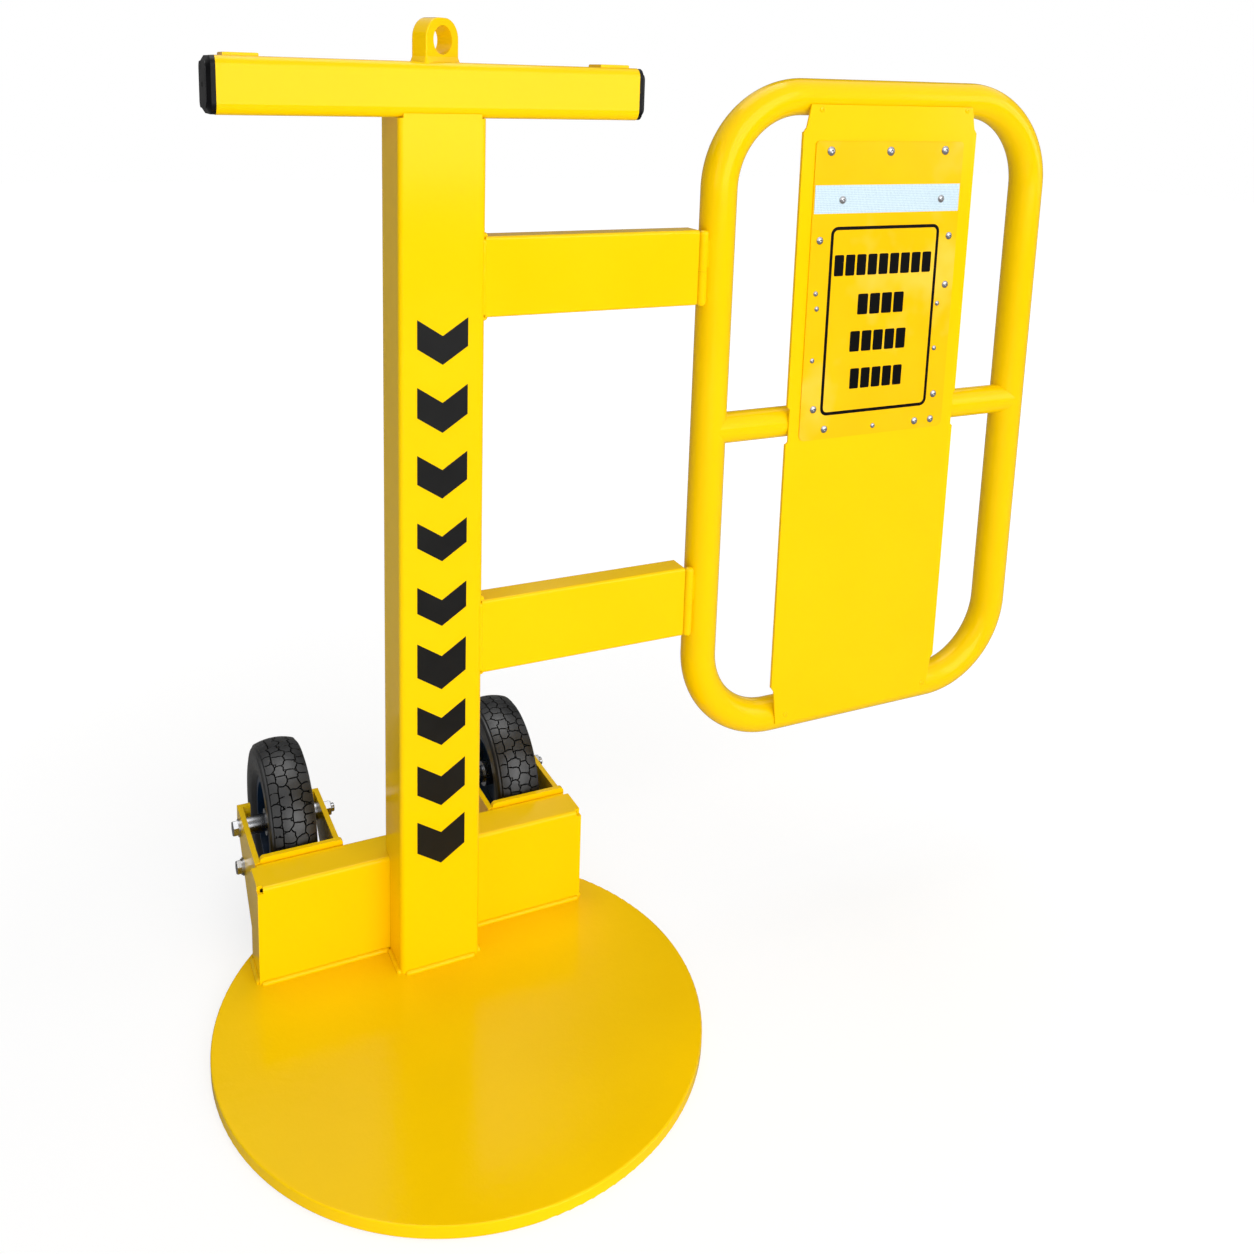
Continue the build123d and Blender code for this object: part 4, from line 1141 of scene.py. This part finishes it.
@dataclass
class Rivet:
    """Blind rivet: dome with the hole of its broken-off pin, shank and tail."""

    head_radius: float
    head_height: float
    grip: float
    tail_radius: float = 2.5
    tail_length: float = 0.9
    shank_radius: float = 2.0
    hole_share: float = 0.34
    sides: int = 28
    crease: float = 40.0
    tail_round: Span = (0.97, 0.05)
    dome: Outline = ((0.22, 0.985), (0.45, 0.9), (0.68, 0.74), (0.87, 0.53))
    rim: float = 0.1
    hole: Outline = ((0.95, 1.0), (0.4, 0.92), (0.35, 0.5), (0.5, 0.3), (0.5, 0.0))

    def outline(self) -> list[Span]:
        """Outline of half the section.

        Returns:
            Its points in metres, from the tail's centre to the hole's floor.
        """
        radius, height = self.head_radius, self.head_height
        tail = -self.grip - self.tail_length
        points = [
            (tail, 0.0),
            (tail, self.tail_radius * 0.8),
            (tail * self.tail_round[0] - self.tail_round[1], self.tail_radius),
            (-self.grip, self.tail_radius),
            (-self.grip, self.shank_radius),
            (0.0, self.shank_radius),
            (0.0, radius),
            *((height * up, radius * out) for up, out in self.dome),
            (height * 0.97, radius * (self.hole_share + self.rim)),
            *((height * up, radius * self.hole_share * out) for up, out in self.hole),
        ]
        return [(x * MM, r * MM) for x, r in points]

    def model(self, name: str) -> bpy.types.Object:
        """Model one rivet.

        Args:
            name: The model's name.

        Returns:
            The rivet on the origin, its head toward -Y.
        """
        obj = Bench.turned(name, self.outline(), self.sides)
        obj.data.transform(Matrix.Rotation(-math.pi / 2, 4, "Z"))
        return Bench.smooth(obj, self.crease)


@dataclass(frozen=True)
class Plate:
    """Front face of a flat CAD node that carries rivets, in millimetres."""

    centre: float
    width: float
    foot: float
    height: float
    front: float

    @classmethod
    def measured(cls, node: str) -> "Plate":
        """Measure a node's front face.

        Args:
            node: The node's name.

        Returns:
            The face.
        """
        (left, front, foot), (right, _, top) = cad_box(node)
        sizes = ((left + right) / 2, right - left, foot, top - foot, front)
        return cls(*(round(size, BOX_DIGITS) for size in sizes))

    def spot(self, across: float, up: float) -> Vector:
        """Place on the face.

        Args:
            across: Share of the width from the middle.
            up: Share of the height from the foot.

        Returns:
            The place in millimetres.
        """
        return Vector((self.centre + across * self.width, self.front, self.foot + up * self.height))


@dataclass
class SignPanel:
    """Centre panel, sign plate, strip, rivets and the plain marks on the sign."""

    sign: Plate = field(default_factory=lambda: Plate.measured("sign_plate"))
    strip: Plate = field(default_factory=lambda: Plate.measured("reflective_strip"))
    panel: Plate = field(default_factory=lambda: Plate.measured("centre_panel"))
    panel_sheet: float = 2.5
    spin: float = 1.3
    wide_shares: Outline = ((-0.403, 0.968), (-0.008, 0.968), (0.37, 0.971))
    dome_shares: Outline = (
        (-0.443, 0.678),
        (0.443, 0.68),
        (0.444, 0.51),
        (-0.418, 0.107),
        (-0.336, 0.034),
        (0.299, 0.028),
        (0.415, 0.029),
        (0.423, 0.12),
    )
    small_shares: Outline = (
        (-0.449, 0.502),
        (-0.436, 0.451),
        (0.398, 0.445),
        (0.402, 0.286),
        (-0.445, 0.276),
        (0.0, 0.028),
    )
    strip_shares: Outline = ((-0.316, 0.476), (0.37, 0.453))
    corner_shares: Outline = ((-0.407, 0.0138), (0.441, 0.0157), (-0.406, 0.993), (0.432, 0.995))
    wide_head: Span = (6.5, 3.2)
    dome_head: Span = (5.5, 3.0)
    small_head: Span = (3.8, 2.2)
    corner_rivet: Rivet = field(
        default_factory=lambda: Rivet(4.0, 1.4, 12.0, tail_radius=2.0, tail_length=0.0, hole_share=0.3)
    )
    frame_box: Box = (539.5, 712.5, 723.0, 975.0)
    frame_line: float = 4.6
    frame_corner: float = 11.0
    mark_rows: tuple[tuple[float, float, float, int], ...] = (
        (548.0, 712.0, 922.0, 9),
        (591.0, 669.0, 867.0, 4),
        (582.0, 677.0, 815.0, 5),
        (586.0, 675.0, 762.0, 5),
    )
    mark_height: float = 29.0
    mark_gap: float = 3.4
    mark_corner: float = 2.0
    mark_lift: float = 0.25
    corner_steps: int = 6

    def rivets(self, name: str, rivet: Rivet, plate: Plate, shares: Outline) -> bpy.types.Object:
        """Set copies of one rivet on a plate.

        Args:
            name: The group's name.
            rivet: The rivet.
            plate: The plate.
            shares: Places as shares of the plate.

        Returns:
            The rivets as one piece.
        """
        places = []
        for number, (across, up) in enumerate(shares):
            turn = Matrix.Rotation(number * self.spin, 4, "Y")
            places.append(Matrix.Translation(plate.spot(across, up) * MM) @ turn)
        return Bench.repeated(name, rivet.model(f"{name}_model"), places)

    def through(self, head: Span, plate: Plate) -> Rivet:
        """Rivet with a given head that reaches through a plate and the panel."""
        return Rivet(*head, self.panel.front + self.panel_sheet - plate.front)

    def build_rivets(self, paints: Paints) -> None:
        """Make the rivets of the sign, the strip and the panel's corners.

        Args:
            paints: The materials.
        """
        sign, strip = self.sign, self.strip
        wide = self.through(self.wide_head, sign)
        dome = self.through(self.dome_head, sign)
        small = self.through(self.small_head, sign)
        film = self.through(self.dome_head, strip)
        heads = [
            self.rivets("wide_rivets", wide, sign, self.wide_shares),
            self.rivets("dome_rivets", dome, sign, self.dome_shares),
        ]
        large = Bench.join("sign_rivet_domes", heads)
        fit(large, paints.rivet, Slot.ZINC, Body.LEAF, "sign_rivets")
        spots = self.rivets("sign_small_rivet_heads", small, sign, self.small_shares)
        fit(spots, paints.rivet, Slot.ZINC, Body.LEAF, "small_rivets")
        pair = self.rivets("strip_rivet_heads", film, strip, self.strip_shares)
        fit(pair, paints.rivet, Slot.ZINC, Body.LEAF, "strip_rivets")
        corners = self.rivets(
            "panel_corner_rivets", self.corner_rivet, self.panel, self.corner_shares
        )
        fit(corners, paints.coat, Slot.YELLOW, Body.LEAF, "panel_rivets")

    def sheet(self, name: str, box: Box, corner: float) -> bpy.types.Object:
        """Lay a flat rounded shape on the sign.

        Args:
            name: The shape's name.
            box: Left, foot, right and top in millimetres.
            corner: Corner radius in millimetres.

        Returns:
            The shape as one upright face.
        """
        left, foot, right, top = box
        Bench.clear()
        bpy.ops.mesh.primitive_plane_add(size=1.0, rotation=(math.pi / 2, 0, 0))
        obj = Bench.named(name)
        obj.location = Vector(((left + right) / 2, self.sign.front, (foot + top) / 2)) * MM
        obj.scale.xy = Vector((right - left, top - foot)) * MM
        Bench.settle(obj)
        with Bench.editing(obj, "VERT"):
            bpy.ops.mesh.select_all(action="SELECT")
            bpy.ops.mesh.bevel(offset=corner * MM, segments=self.corner_steps, affect="VERTICES")
        return obj

    def build_frame_line(self, paints: Paints) -> None:
        """Make the black line round the marks.

        Args:
            paints: The materials.
        """
        line = self.sheet("sign_frame_line", self.frame_box, self.frame_corner)
        Bench.pick(line, lambda face: True)
        with Bench.editing(line):
            bpy.ops.mesh.inset(thickness=self.frame_line * MM, depth=0.0)
            bpy.ops.mesh.delete(type="FACE")
        fit(Bench.thicken(line, self.mark_lift * MM), paints.ink, Slot.PLASTIC, Body.LEAF)

    def build_marks(self, paints: Paints) -> None:
        """Make rows of plain blocks where the sign has words.

        Args:
            paints: The materials.
        """
        blocks = []
        for row, (left, right, middle, count) in enumerate(self.mark_rows):
            pitch = (right - left + self.mark_gap) / count
            foot, top = middle - self.mark_height / 2, middle + self.mark_height / 2
            for number in range(count):
                start = left + number * pitch
                box = (start, foot, start + pitch - self.mark_gap, top)
                block = self.sheet(f"row_{row}_{number}", box, self.mark_corner)
                blocks.append(Bench.thicken(block, self.mark_lift * MM))
        fit(Bench.join("sign_mark_rows", blocks), paints.ink, Slot.PLASTIC, Body.LEAF)

    def build(self, paints: Paints) -> None:
        """Dress the panel and all that it carries.

        Args:
            paints: The materials.
        """
        repaint(paints.coat, "centre_panel")
        repaint(paints.sign, "sign_plate")
        repaint(paints.film, "reflective_strip")
        self.build_rivets(paints)
        self.build_frame_line(paints)
        self.build_marks(paints)


@dataclass
class PostMarks:
    """Column of plain black chevrons on the post's front, points down."""

    front: float = field(default_factory=lambda: cad_box("post")[0][1])
    half_width: float = 31.5
    lift: float = 0.25
    slope: float = 21.0
    spans: Outline = (
        (822.7, 878.8),
        (738.9, 797.2),
        (656.2, 713.5),
        (575.7, 628.7),
        (490.9, 546.0),
        (406.1, 471.8),
        (329.8, 388.1),
        (246.0, 307.5),
        (164.4, 229.1),
    )

    def chevron(self, name: str, foot: float, top: float) -> bpy.types.Object:
        """Make one chevron.

        Args:
            name: Its name.
            foot: Its lowest height in millimetres.
            top: Its highest height in millimetres.

        Returns:
            The chevron on the post's front.
        """
        Bench.clear()
        bpy.ops.mesh.primitive_grid_add(
            x_subdivisions=2, y_subdivisions=1, size=1.0, rotation=(math.pi / 2, 0, 0)
        )
        obj = Bench.named(name)
        obj.location = Vector((0, self.front, (top + foot) / 2)) * MM
        obj.scale.xy = Vector((2 * self.half_width, top - foot - self.slope)) * MM
        Bench.settle(obj)
        for vertex in obj.data.vertices:
            centred = abs(vertex.co.x) < self.half_width * MM / 2
            vertex.co.z += (-0.5 if centred else 0.5) * self.slope * MM
        return Bench.thicken(obj, self.lift * MM)

    def build(self, paints: Paints) -> None:
        """Make all marks as one piece.

        Args:
            paints: The materials.
        """
        marks = [self.chevron(f"mark_{i}", foot, top) for i, (foot, top) in enumerate(self.spans)]
        fit(Bench.join("post_chevrons", marks), paints.black, Slot.PLASTIC, Body.STAND)


@dataclass
class Welds:
    """Painted weld beads with uneven backs."""

    radius: float = 3.7
    offset: float = 0.9
    step: float = 2.5
    sides: int = 12
    end_reach: float = 0.4
    end_share: float = 0.6
    lumps: float = 1.3
    lump_size: float = 7.0
    crease: float = 60.0
    corner: float = 6.0
    gap: float = 3.0
    near: float = 2.0
    arm_gap: float = 4.0
    beam_gap: float = 2.5
    groove_inset: float = 1.5

    def bead(self, name: str, start: Point, end: Point, *legs: Point) -> bpy.types.Object:
        """Run one bead along a corner.

        Args:
            name: The bead's name.
            start: One end of the corner line in millimetres.
            end: The other end.
            legs: Directions of the corner's two sides; none in a groove.

        Returns:
            The bead, before its lumps.
        """
        first = Vector(start)
        run = Vector(end) - first
        length = run.length * MM
        obj = Bench.drum(name, self.radius * MM, length, self.sides)
        places = [vertex.co.x for vertex in obj.data.vertices]
        Bench.pick_edges(obj, lambda edge: abs(places[edge.key[0]] - places[edge.key[1]]) > length / 2)
        with Bench.editing(obj, "EDGE"):
            bpy.ops.mesh.subdivide(number_cuts=max(1, int(run.length / self.step)))
        for vertex in obj.data.vertices:
            past = min(vertex.co.x, length - vertex.co.x)
            if past < self.radius * MM * self.end_reach:
                vertex.co.y *= self.end_share
                vertex.co.z *= self.end_share
        lift = sum((Vector(leg) for leg in legs), Vector()) * self.offset
        turn = Vector((1, 0, 0)).rotation_difference(run).to_matrix().to_4x4()
        obj.data.transform(Matrix.Translation((first + lift) * MM) @ turn)
        return obj

    def finish(
        self, name: str, beads: Sequence[bpy.types.Object], paints: Paints, node: str
    ) -> None:
        """Join beads, give them lumps and paint them.

        Args:
            name: The name of the whole.
            beads: The beads.
            paints: The materials.
            node: The CAD node that they stand for.
        """
        piece = Bench.join(name, beads)
        lumps = bpy.data.textures.new(f"{name}_lumps", "CLOUDS")
        lumps.noise_scale = self.lump_size * MM
        Bench.modify(
            piece,
            "DISPLACE",
            texture=lumps,
            texture_coords="LOCAL",
            strength=self.lumps * MM,
            mid_level=0.5,
        )
        Bench.smooth(piece, self.crease)
        fit(piece, paints.bead, Slot.YELLOW, Body.STAND, node)

    def build_foot(self, paints: Paints) -> None:
        """Weld the beam and the post to the disc.

        Args:
            paints: The materials.
        """
        (_, front, floor), (half, _, _) = cad_box("post")
        (_, beam_front, _), (beam_half, beam_back, _) = cad_box("base_beam")
        ahead, back, up = (0, -1, 0), (0, 1, 0), (0, 0, 1)
        reach, long_reach = half - self.corner, beam_half - self.corner
        beads = [
            self.bead("foot_front", (-reach, front, floor), (reach, front, floor), ahead, up),
            self.bead(
                "foot_back", (-long_reach, beam_back, floor), (long_reach, beam_back, floor), back, up
            ),
        ]
        for side in Side:
            sign, tag = side.value, side.name.lower()
            out = (sign, 0, 0)
            runs = {
                "post": (half, front + self.gap, half, beam_front - self.near, out),
                "beam": (half + self.near, beam_front, beam_half - self.beam_gap, beam_front, ahead),
                "end": (beam_half, beam_front + self.gap, beam_half, beam_back - self.gap, out),
            }
            for part, (x_a, y_a, x_b, y_b, leg) in runs.items():
                start, end = (sign * x_a, y_a, floor), (sign * x_b, y_b, floor)
                beads.append(self.bead(f"{part}_{tag}", start, end, leg, up))
        self.finish("foot_weld_beads", beads, paints, "base_welds")

    def build_arms(self, paints: Paints) -> None:
        """Weld the arms to the post.

        Args:
            paints: The materials.
        """
        beads = []
        out, back, up, down = (1, 0, 0), (0, 1, 0), (0, 0, 1), (0, 0, -1)
        for arm in ("lower_arm", "upper_arm"):
            (x, face, bottom), (_, rear, top) = cad_box(arm)
            near, far = face + self.arm_gap, rear - self.near
            inset, front = x - self.groove_inset, face + self.gap
            beads += [
                self.bead(f"{arm}_top", (x, near, top), (x, far, top), out, up),
                self.bead(f"{arm}_low", (x, near, bottom), (x, far, bottom), out, down),
                self.bead(
                    f"{arm}_back",
                    (x, rear, bottom + self.near),
                    (x, rear, top - self.near),
                    out,
                    back,
                ),
                self.bead(
                    f"{arm}_front", (inset, front, bottom + self.gap), (inset, front, top - self.gap)
                ),
            ]
        self.finish("arm_weld_beads", beads, paints, "arm_welds")

    def build(self, paints: Paints) -> None:
        """Make the beads that are rebuilt and paint the others.

        Args:
            paints: The materials.
        """
        self.build_foot(paints)
        self.build_arms(paints)
        kept = ("crossbar_welds", "lug_weld", "hinge_arm_welds", "hinge_leaf_welds")
        repaint(paints.bead, *kept)


@dataclass
class Structure:
    """Painted steel and hardware whose CAD shape stays."""

    painted: tuple[str, ...] = (
        "post",
        "post_cap",
        "base_beam",
        "crossbar",
        "bar_pads",
        "lifting_lug",
        "lower_arm",
        "upper_arm",
        "arm_end_plates",
        "hinge_lower_knuckles",
        "hinge_upper_knuckles",
        "hinge_washers",
        "panel_left_return",
        "panel_right_return",
        "left_bracket",
        "right_bracket",
        "mid_rail",
    )
    plated: tuple[str, ...] = (
        "hinge_pins",
        "axle_bolts",
        "axle_nuts",
        "axle_washers",
        "spacer_tubes",
        "stop_bolts",
        "stop_nuts",
        "stop_washers",
    )

    def build(self, paints: Paints) -> None:
        """Paint the nodes.

        Args:
            paints: The materials.
        """
        hoop = [name for name in frame["nodes"] if "hoop" in name]
        repaint(paints.coat, *self.painted, *hoop)
        repaint(paints.coarse, "base_disc")
        repaint(paints.steel, *self.plated)
        repaint(paints.plastic, "end_caps")


@dataclass
class Viewpoint:
    """Camera at the photograph's viewing angle, in metres and radians."""

    place: Point = (-0.445, -1.2852, 1.1612)
    yaw: float = 0.4436
    pitch: float = 0.1918
    roll: float = 0.0284
    focal_pixels: float = 1235.5
    shift_x: float = 0.0208
    shift_y: float = -0.2457
    sensor: float = 36.0
    clip: Span = (0.05, 60.0)

    def turn(self) -> Matrix:
        """Work out how the camera is turned.

        Returns:
            Its rotation.
        """
        east, north = math.sin(self.yaw), math.cos(self.yaw)
        flat = math.cos(self.pitch)
        ahead = Vector((east * flat, north * flat, -math.sin(self.pitch)))
        level = Vector((north, -east, 0.0))
        upright = level.cross(ahead)
        right = level * math.cos(self.roll) + upright * math.sin(self.roll)
        up = upright * math.cos(self.roll) - level * math.sin(self.roll)
        return Matrix((right, up, -ahead)).transposed().to_4x4()

    def build(self) -> None:
        """Make the camera and use it."""
        data = bpy.data.cameras.new("viewpoint")
        data.sensor_width = self.sensor
        data.lens = self.focal_pixels * self.sensor / IMAGE_PIXELS
        data.shift_x, data.shift_y = self.shift_x, self.shift_y
        data.clip_start, data.clip_end = self.clip
        camera = bpy.data.objects.new("viewpoint", data)
        camera.matrix_world = Matrix.Translation(Vector(self.place)) @ self.turn()
        bpy.context.scene.collection.objects.link(camera)
        bpy.context.scene.camera = camera
        log.info("camera placed, lens %.2f mm", data.lens)


@dataclass(frozen=True)
class Lamp:
    """One soft area light."""

    name: str
    place: Point
    target: Point
    size: float
    power: float
    mirrored: bool = True

    def build(self) -> None:
        """Make the light and aim it."""
        data = bpy.data.lights.new(self.name, "AREA")
        data.shape = "SQUARE"
        data.size = self.size
        data.energy = self.power
        lamp = bpy.data.objects.new(self.name, data)
        aim = Vector(self.target) - Vector(self.place)
        lamp.rotation_mode = "QUATERNION"
        lamp.rotation_quaternion = aim.to_track_quat("-Z", "Y")
        lamp.location = self.place
        lamp.visible_glossy = self.mirrored
        bpy.context.scene.collection.objects.link(lamp)


@dataclass(frozen=True)
class Card:
    """Dark studio card that shows in reflections only, upright."""

    name: str
    place: Point
    turn: float
    width: float
    height: float
    shade: float = 0.1
    fade: float = 0.0

    def paint(self) -> bpy.types.Material:
        """Make its material, fading from white at the left where it has a fade.

        Returns:
            The material.
        """
        shader = Shader(self.name)
        colour: Any = grey(self.shade)
        if self.fade:
            left = self.place[0] - self.width / 2
            share = ((shader.axis(0) - left) * (1.0 / self.fade)).at_least(0.0).at_most(1.0)
            colour = shader.blend(share, grey(1.0), colour)
        shader.show(shader.add("ShaderNodeEmission", None, {0: colour}))
        return shader.material

    def build(self) -> None:
        """Hang the card."""
        Bench.clear()
        turn = (math.pi / 2, 0, self.turn)
        bpy.ops.mesh.primitive_plane_add(size=1.0, location=self.place, rotation=turn)
        card = Bench.named(self.name)
        card.scale = (self.width, self.height, 1.0)
        Bench.settle(card)
        card.data.materials.append(self.paint())
        card.visible_camera = False
        card.visible_diffuse = False
        card.visible_shadow = False


@dataclass
class Studio:
    """Pale floor, white surroundings, soft lamps and dark cards."""

    lamps: tuple[Lamp, ...] = (
        Lamp("key", (1.1, -4.1, 2.2), (0.1, 0.0, 0.55), 3.4, 104.0),
        Lamp("low", (-0.5, -2.7, 0.4), (-0.05, 0.1, 0.15), 1.2, 33.0, mirrored=False),
        Lamp("side", (3.4, -1.9, 1.7), (0.6, 0.1, 0.7), 1.6, 12.0),
        Lamp("fill", (-2.6, -2.2, 1.8), (0.1, 0.0, 0.5), 1.8, 8.0),
        Lamp("top", (0.3, 1.2, 6.4), (0.2, 0.1, 0.3), 4.0, 128.0),
    )
    cards: tuple[Card, ...] = (
        Card("back_card", (0.0, 2.8, 1.3), 0.0, 6.0, 2.6, 0.2),
        Card("left_card", (-2.9, 0.6, 1.3), math.pi / 2, 4.4, 2.6),
        Card("right_card", (3.6, 0.9, 1.3), math.pi / 2, 3.4, 2.6, 0.2),
        Card("high_card", (2.75, 2.78, 3.5), 0.0, 3.1, 3.4, 0.05, 0.4),
    )
    ambient: float = 0.36
    floor_half: float = 12.0
    floor_drop: float = 0.3
    glow_near: float = 0.78
    glow_far: float = 0.95
    glow_rise: float = 0.5
    glow_start: float = 0.3
    seen_shade: float = 0.24
    bounce_shade: float = 0.72
    mirror_shade: float = 0.3

    def build_world(self) -> None:
        """Make surroundings that are white to the eye and in reflections, dimmer as light."""
        world = bpy.data.worlds.new("surroundings")
        world.use_nodes = True
        nodes = Nodes(world.node_tree)
        shown = nodes.ray("Camera").at_least(nodes.ray("Glossy")).at_least(nodes.ray("Transmission"))
        strength = self.ambient + (1.0 - self.ambient) * shown
        back = nodes.add("ShaderNodeBackground", None, {0: grey(1.0), 1: strength})
        nodes.add("ShaderNodeOutputWorld", None, {0: back.outputs[0]})
        bpy.context.scene.world = world

    def floor_paint(self) -> bpy.types.Material:
        """Make the floor's material, which keeps shadows but looks near white.

        Returns:
            The material.
        """
        shader = Shader("pale_floor")
        across, along = shader.axis(0), shader.axis(1)
        reach = (across * across + along * along).root()
        share = (reach * self.glow_rise - self.glow_start).at_least(0.0).at_most(1.0)
        glow = shader.blend(share, grey(self.glow_near), grey(self.glow_far))
        light = shader.add("ShaderNodeEmission", None, {0: glow})
        seen, bounce, mirror = (
            shader.add("ShaderNodeBsdfDiffuse", None, {0: grey(shade)}).outputs[0]
            for shade in (self.seen_shade, self.bounce_shade, self.mirror_shade)
        )
        both = shader.add("ShaderNodeAddShader", None, {0: seen, 1: light.outputs[0]})
        inner = shader.add(
            "ShaderNodeMixShader", None, {0: shader.ray("Glossy"), 1: bounce, 2: mirror}
        )
        outer = shader.add(
            "ShaderNodeMixShader",
            None,
            {0: shader.ray("Camera"), 1: inner.outputs[0], 2: both.outputs[0]},
        )
        shader.show(outer)
        return shader.material

    def build_floor(self) -> None:
        """Lay the floor just under the gate."""
        Bench.clear()
        drop = (0, 0, -self.floor_drop * MM)
        bpy.ops.mesh.primitive_plane_add(size=2 * self.floor_half, location=drop)
        floor = Bench.settle(Bench.named("floor"))
        floor.data.materials.append(self.floor_paint())

    def build(self) -> None:
        """Build everything round the object."""
        self.build_world()
        self.build_floor()
        for part in (*self.lamps, *self.cards):
            part.build()
        bpy.context.scene.view_settings.view_transform = "Standard"


def main() -> None:
    """Build the gate's looks in order."""
    logging.basicConfig(level=logging.INFO, format="%(name)s: %(message)s")
    Bench.clear()
    paints = Paints.mixed()
    Viewpoint().build()
    Studio().build()
    for part in (Structure(), SignPanel(), PostMarks(), Welds(), Wheels()):
        part.build(paints)


if __name__ == "__main__":
    main()
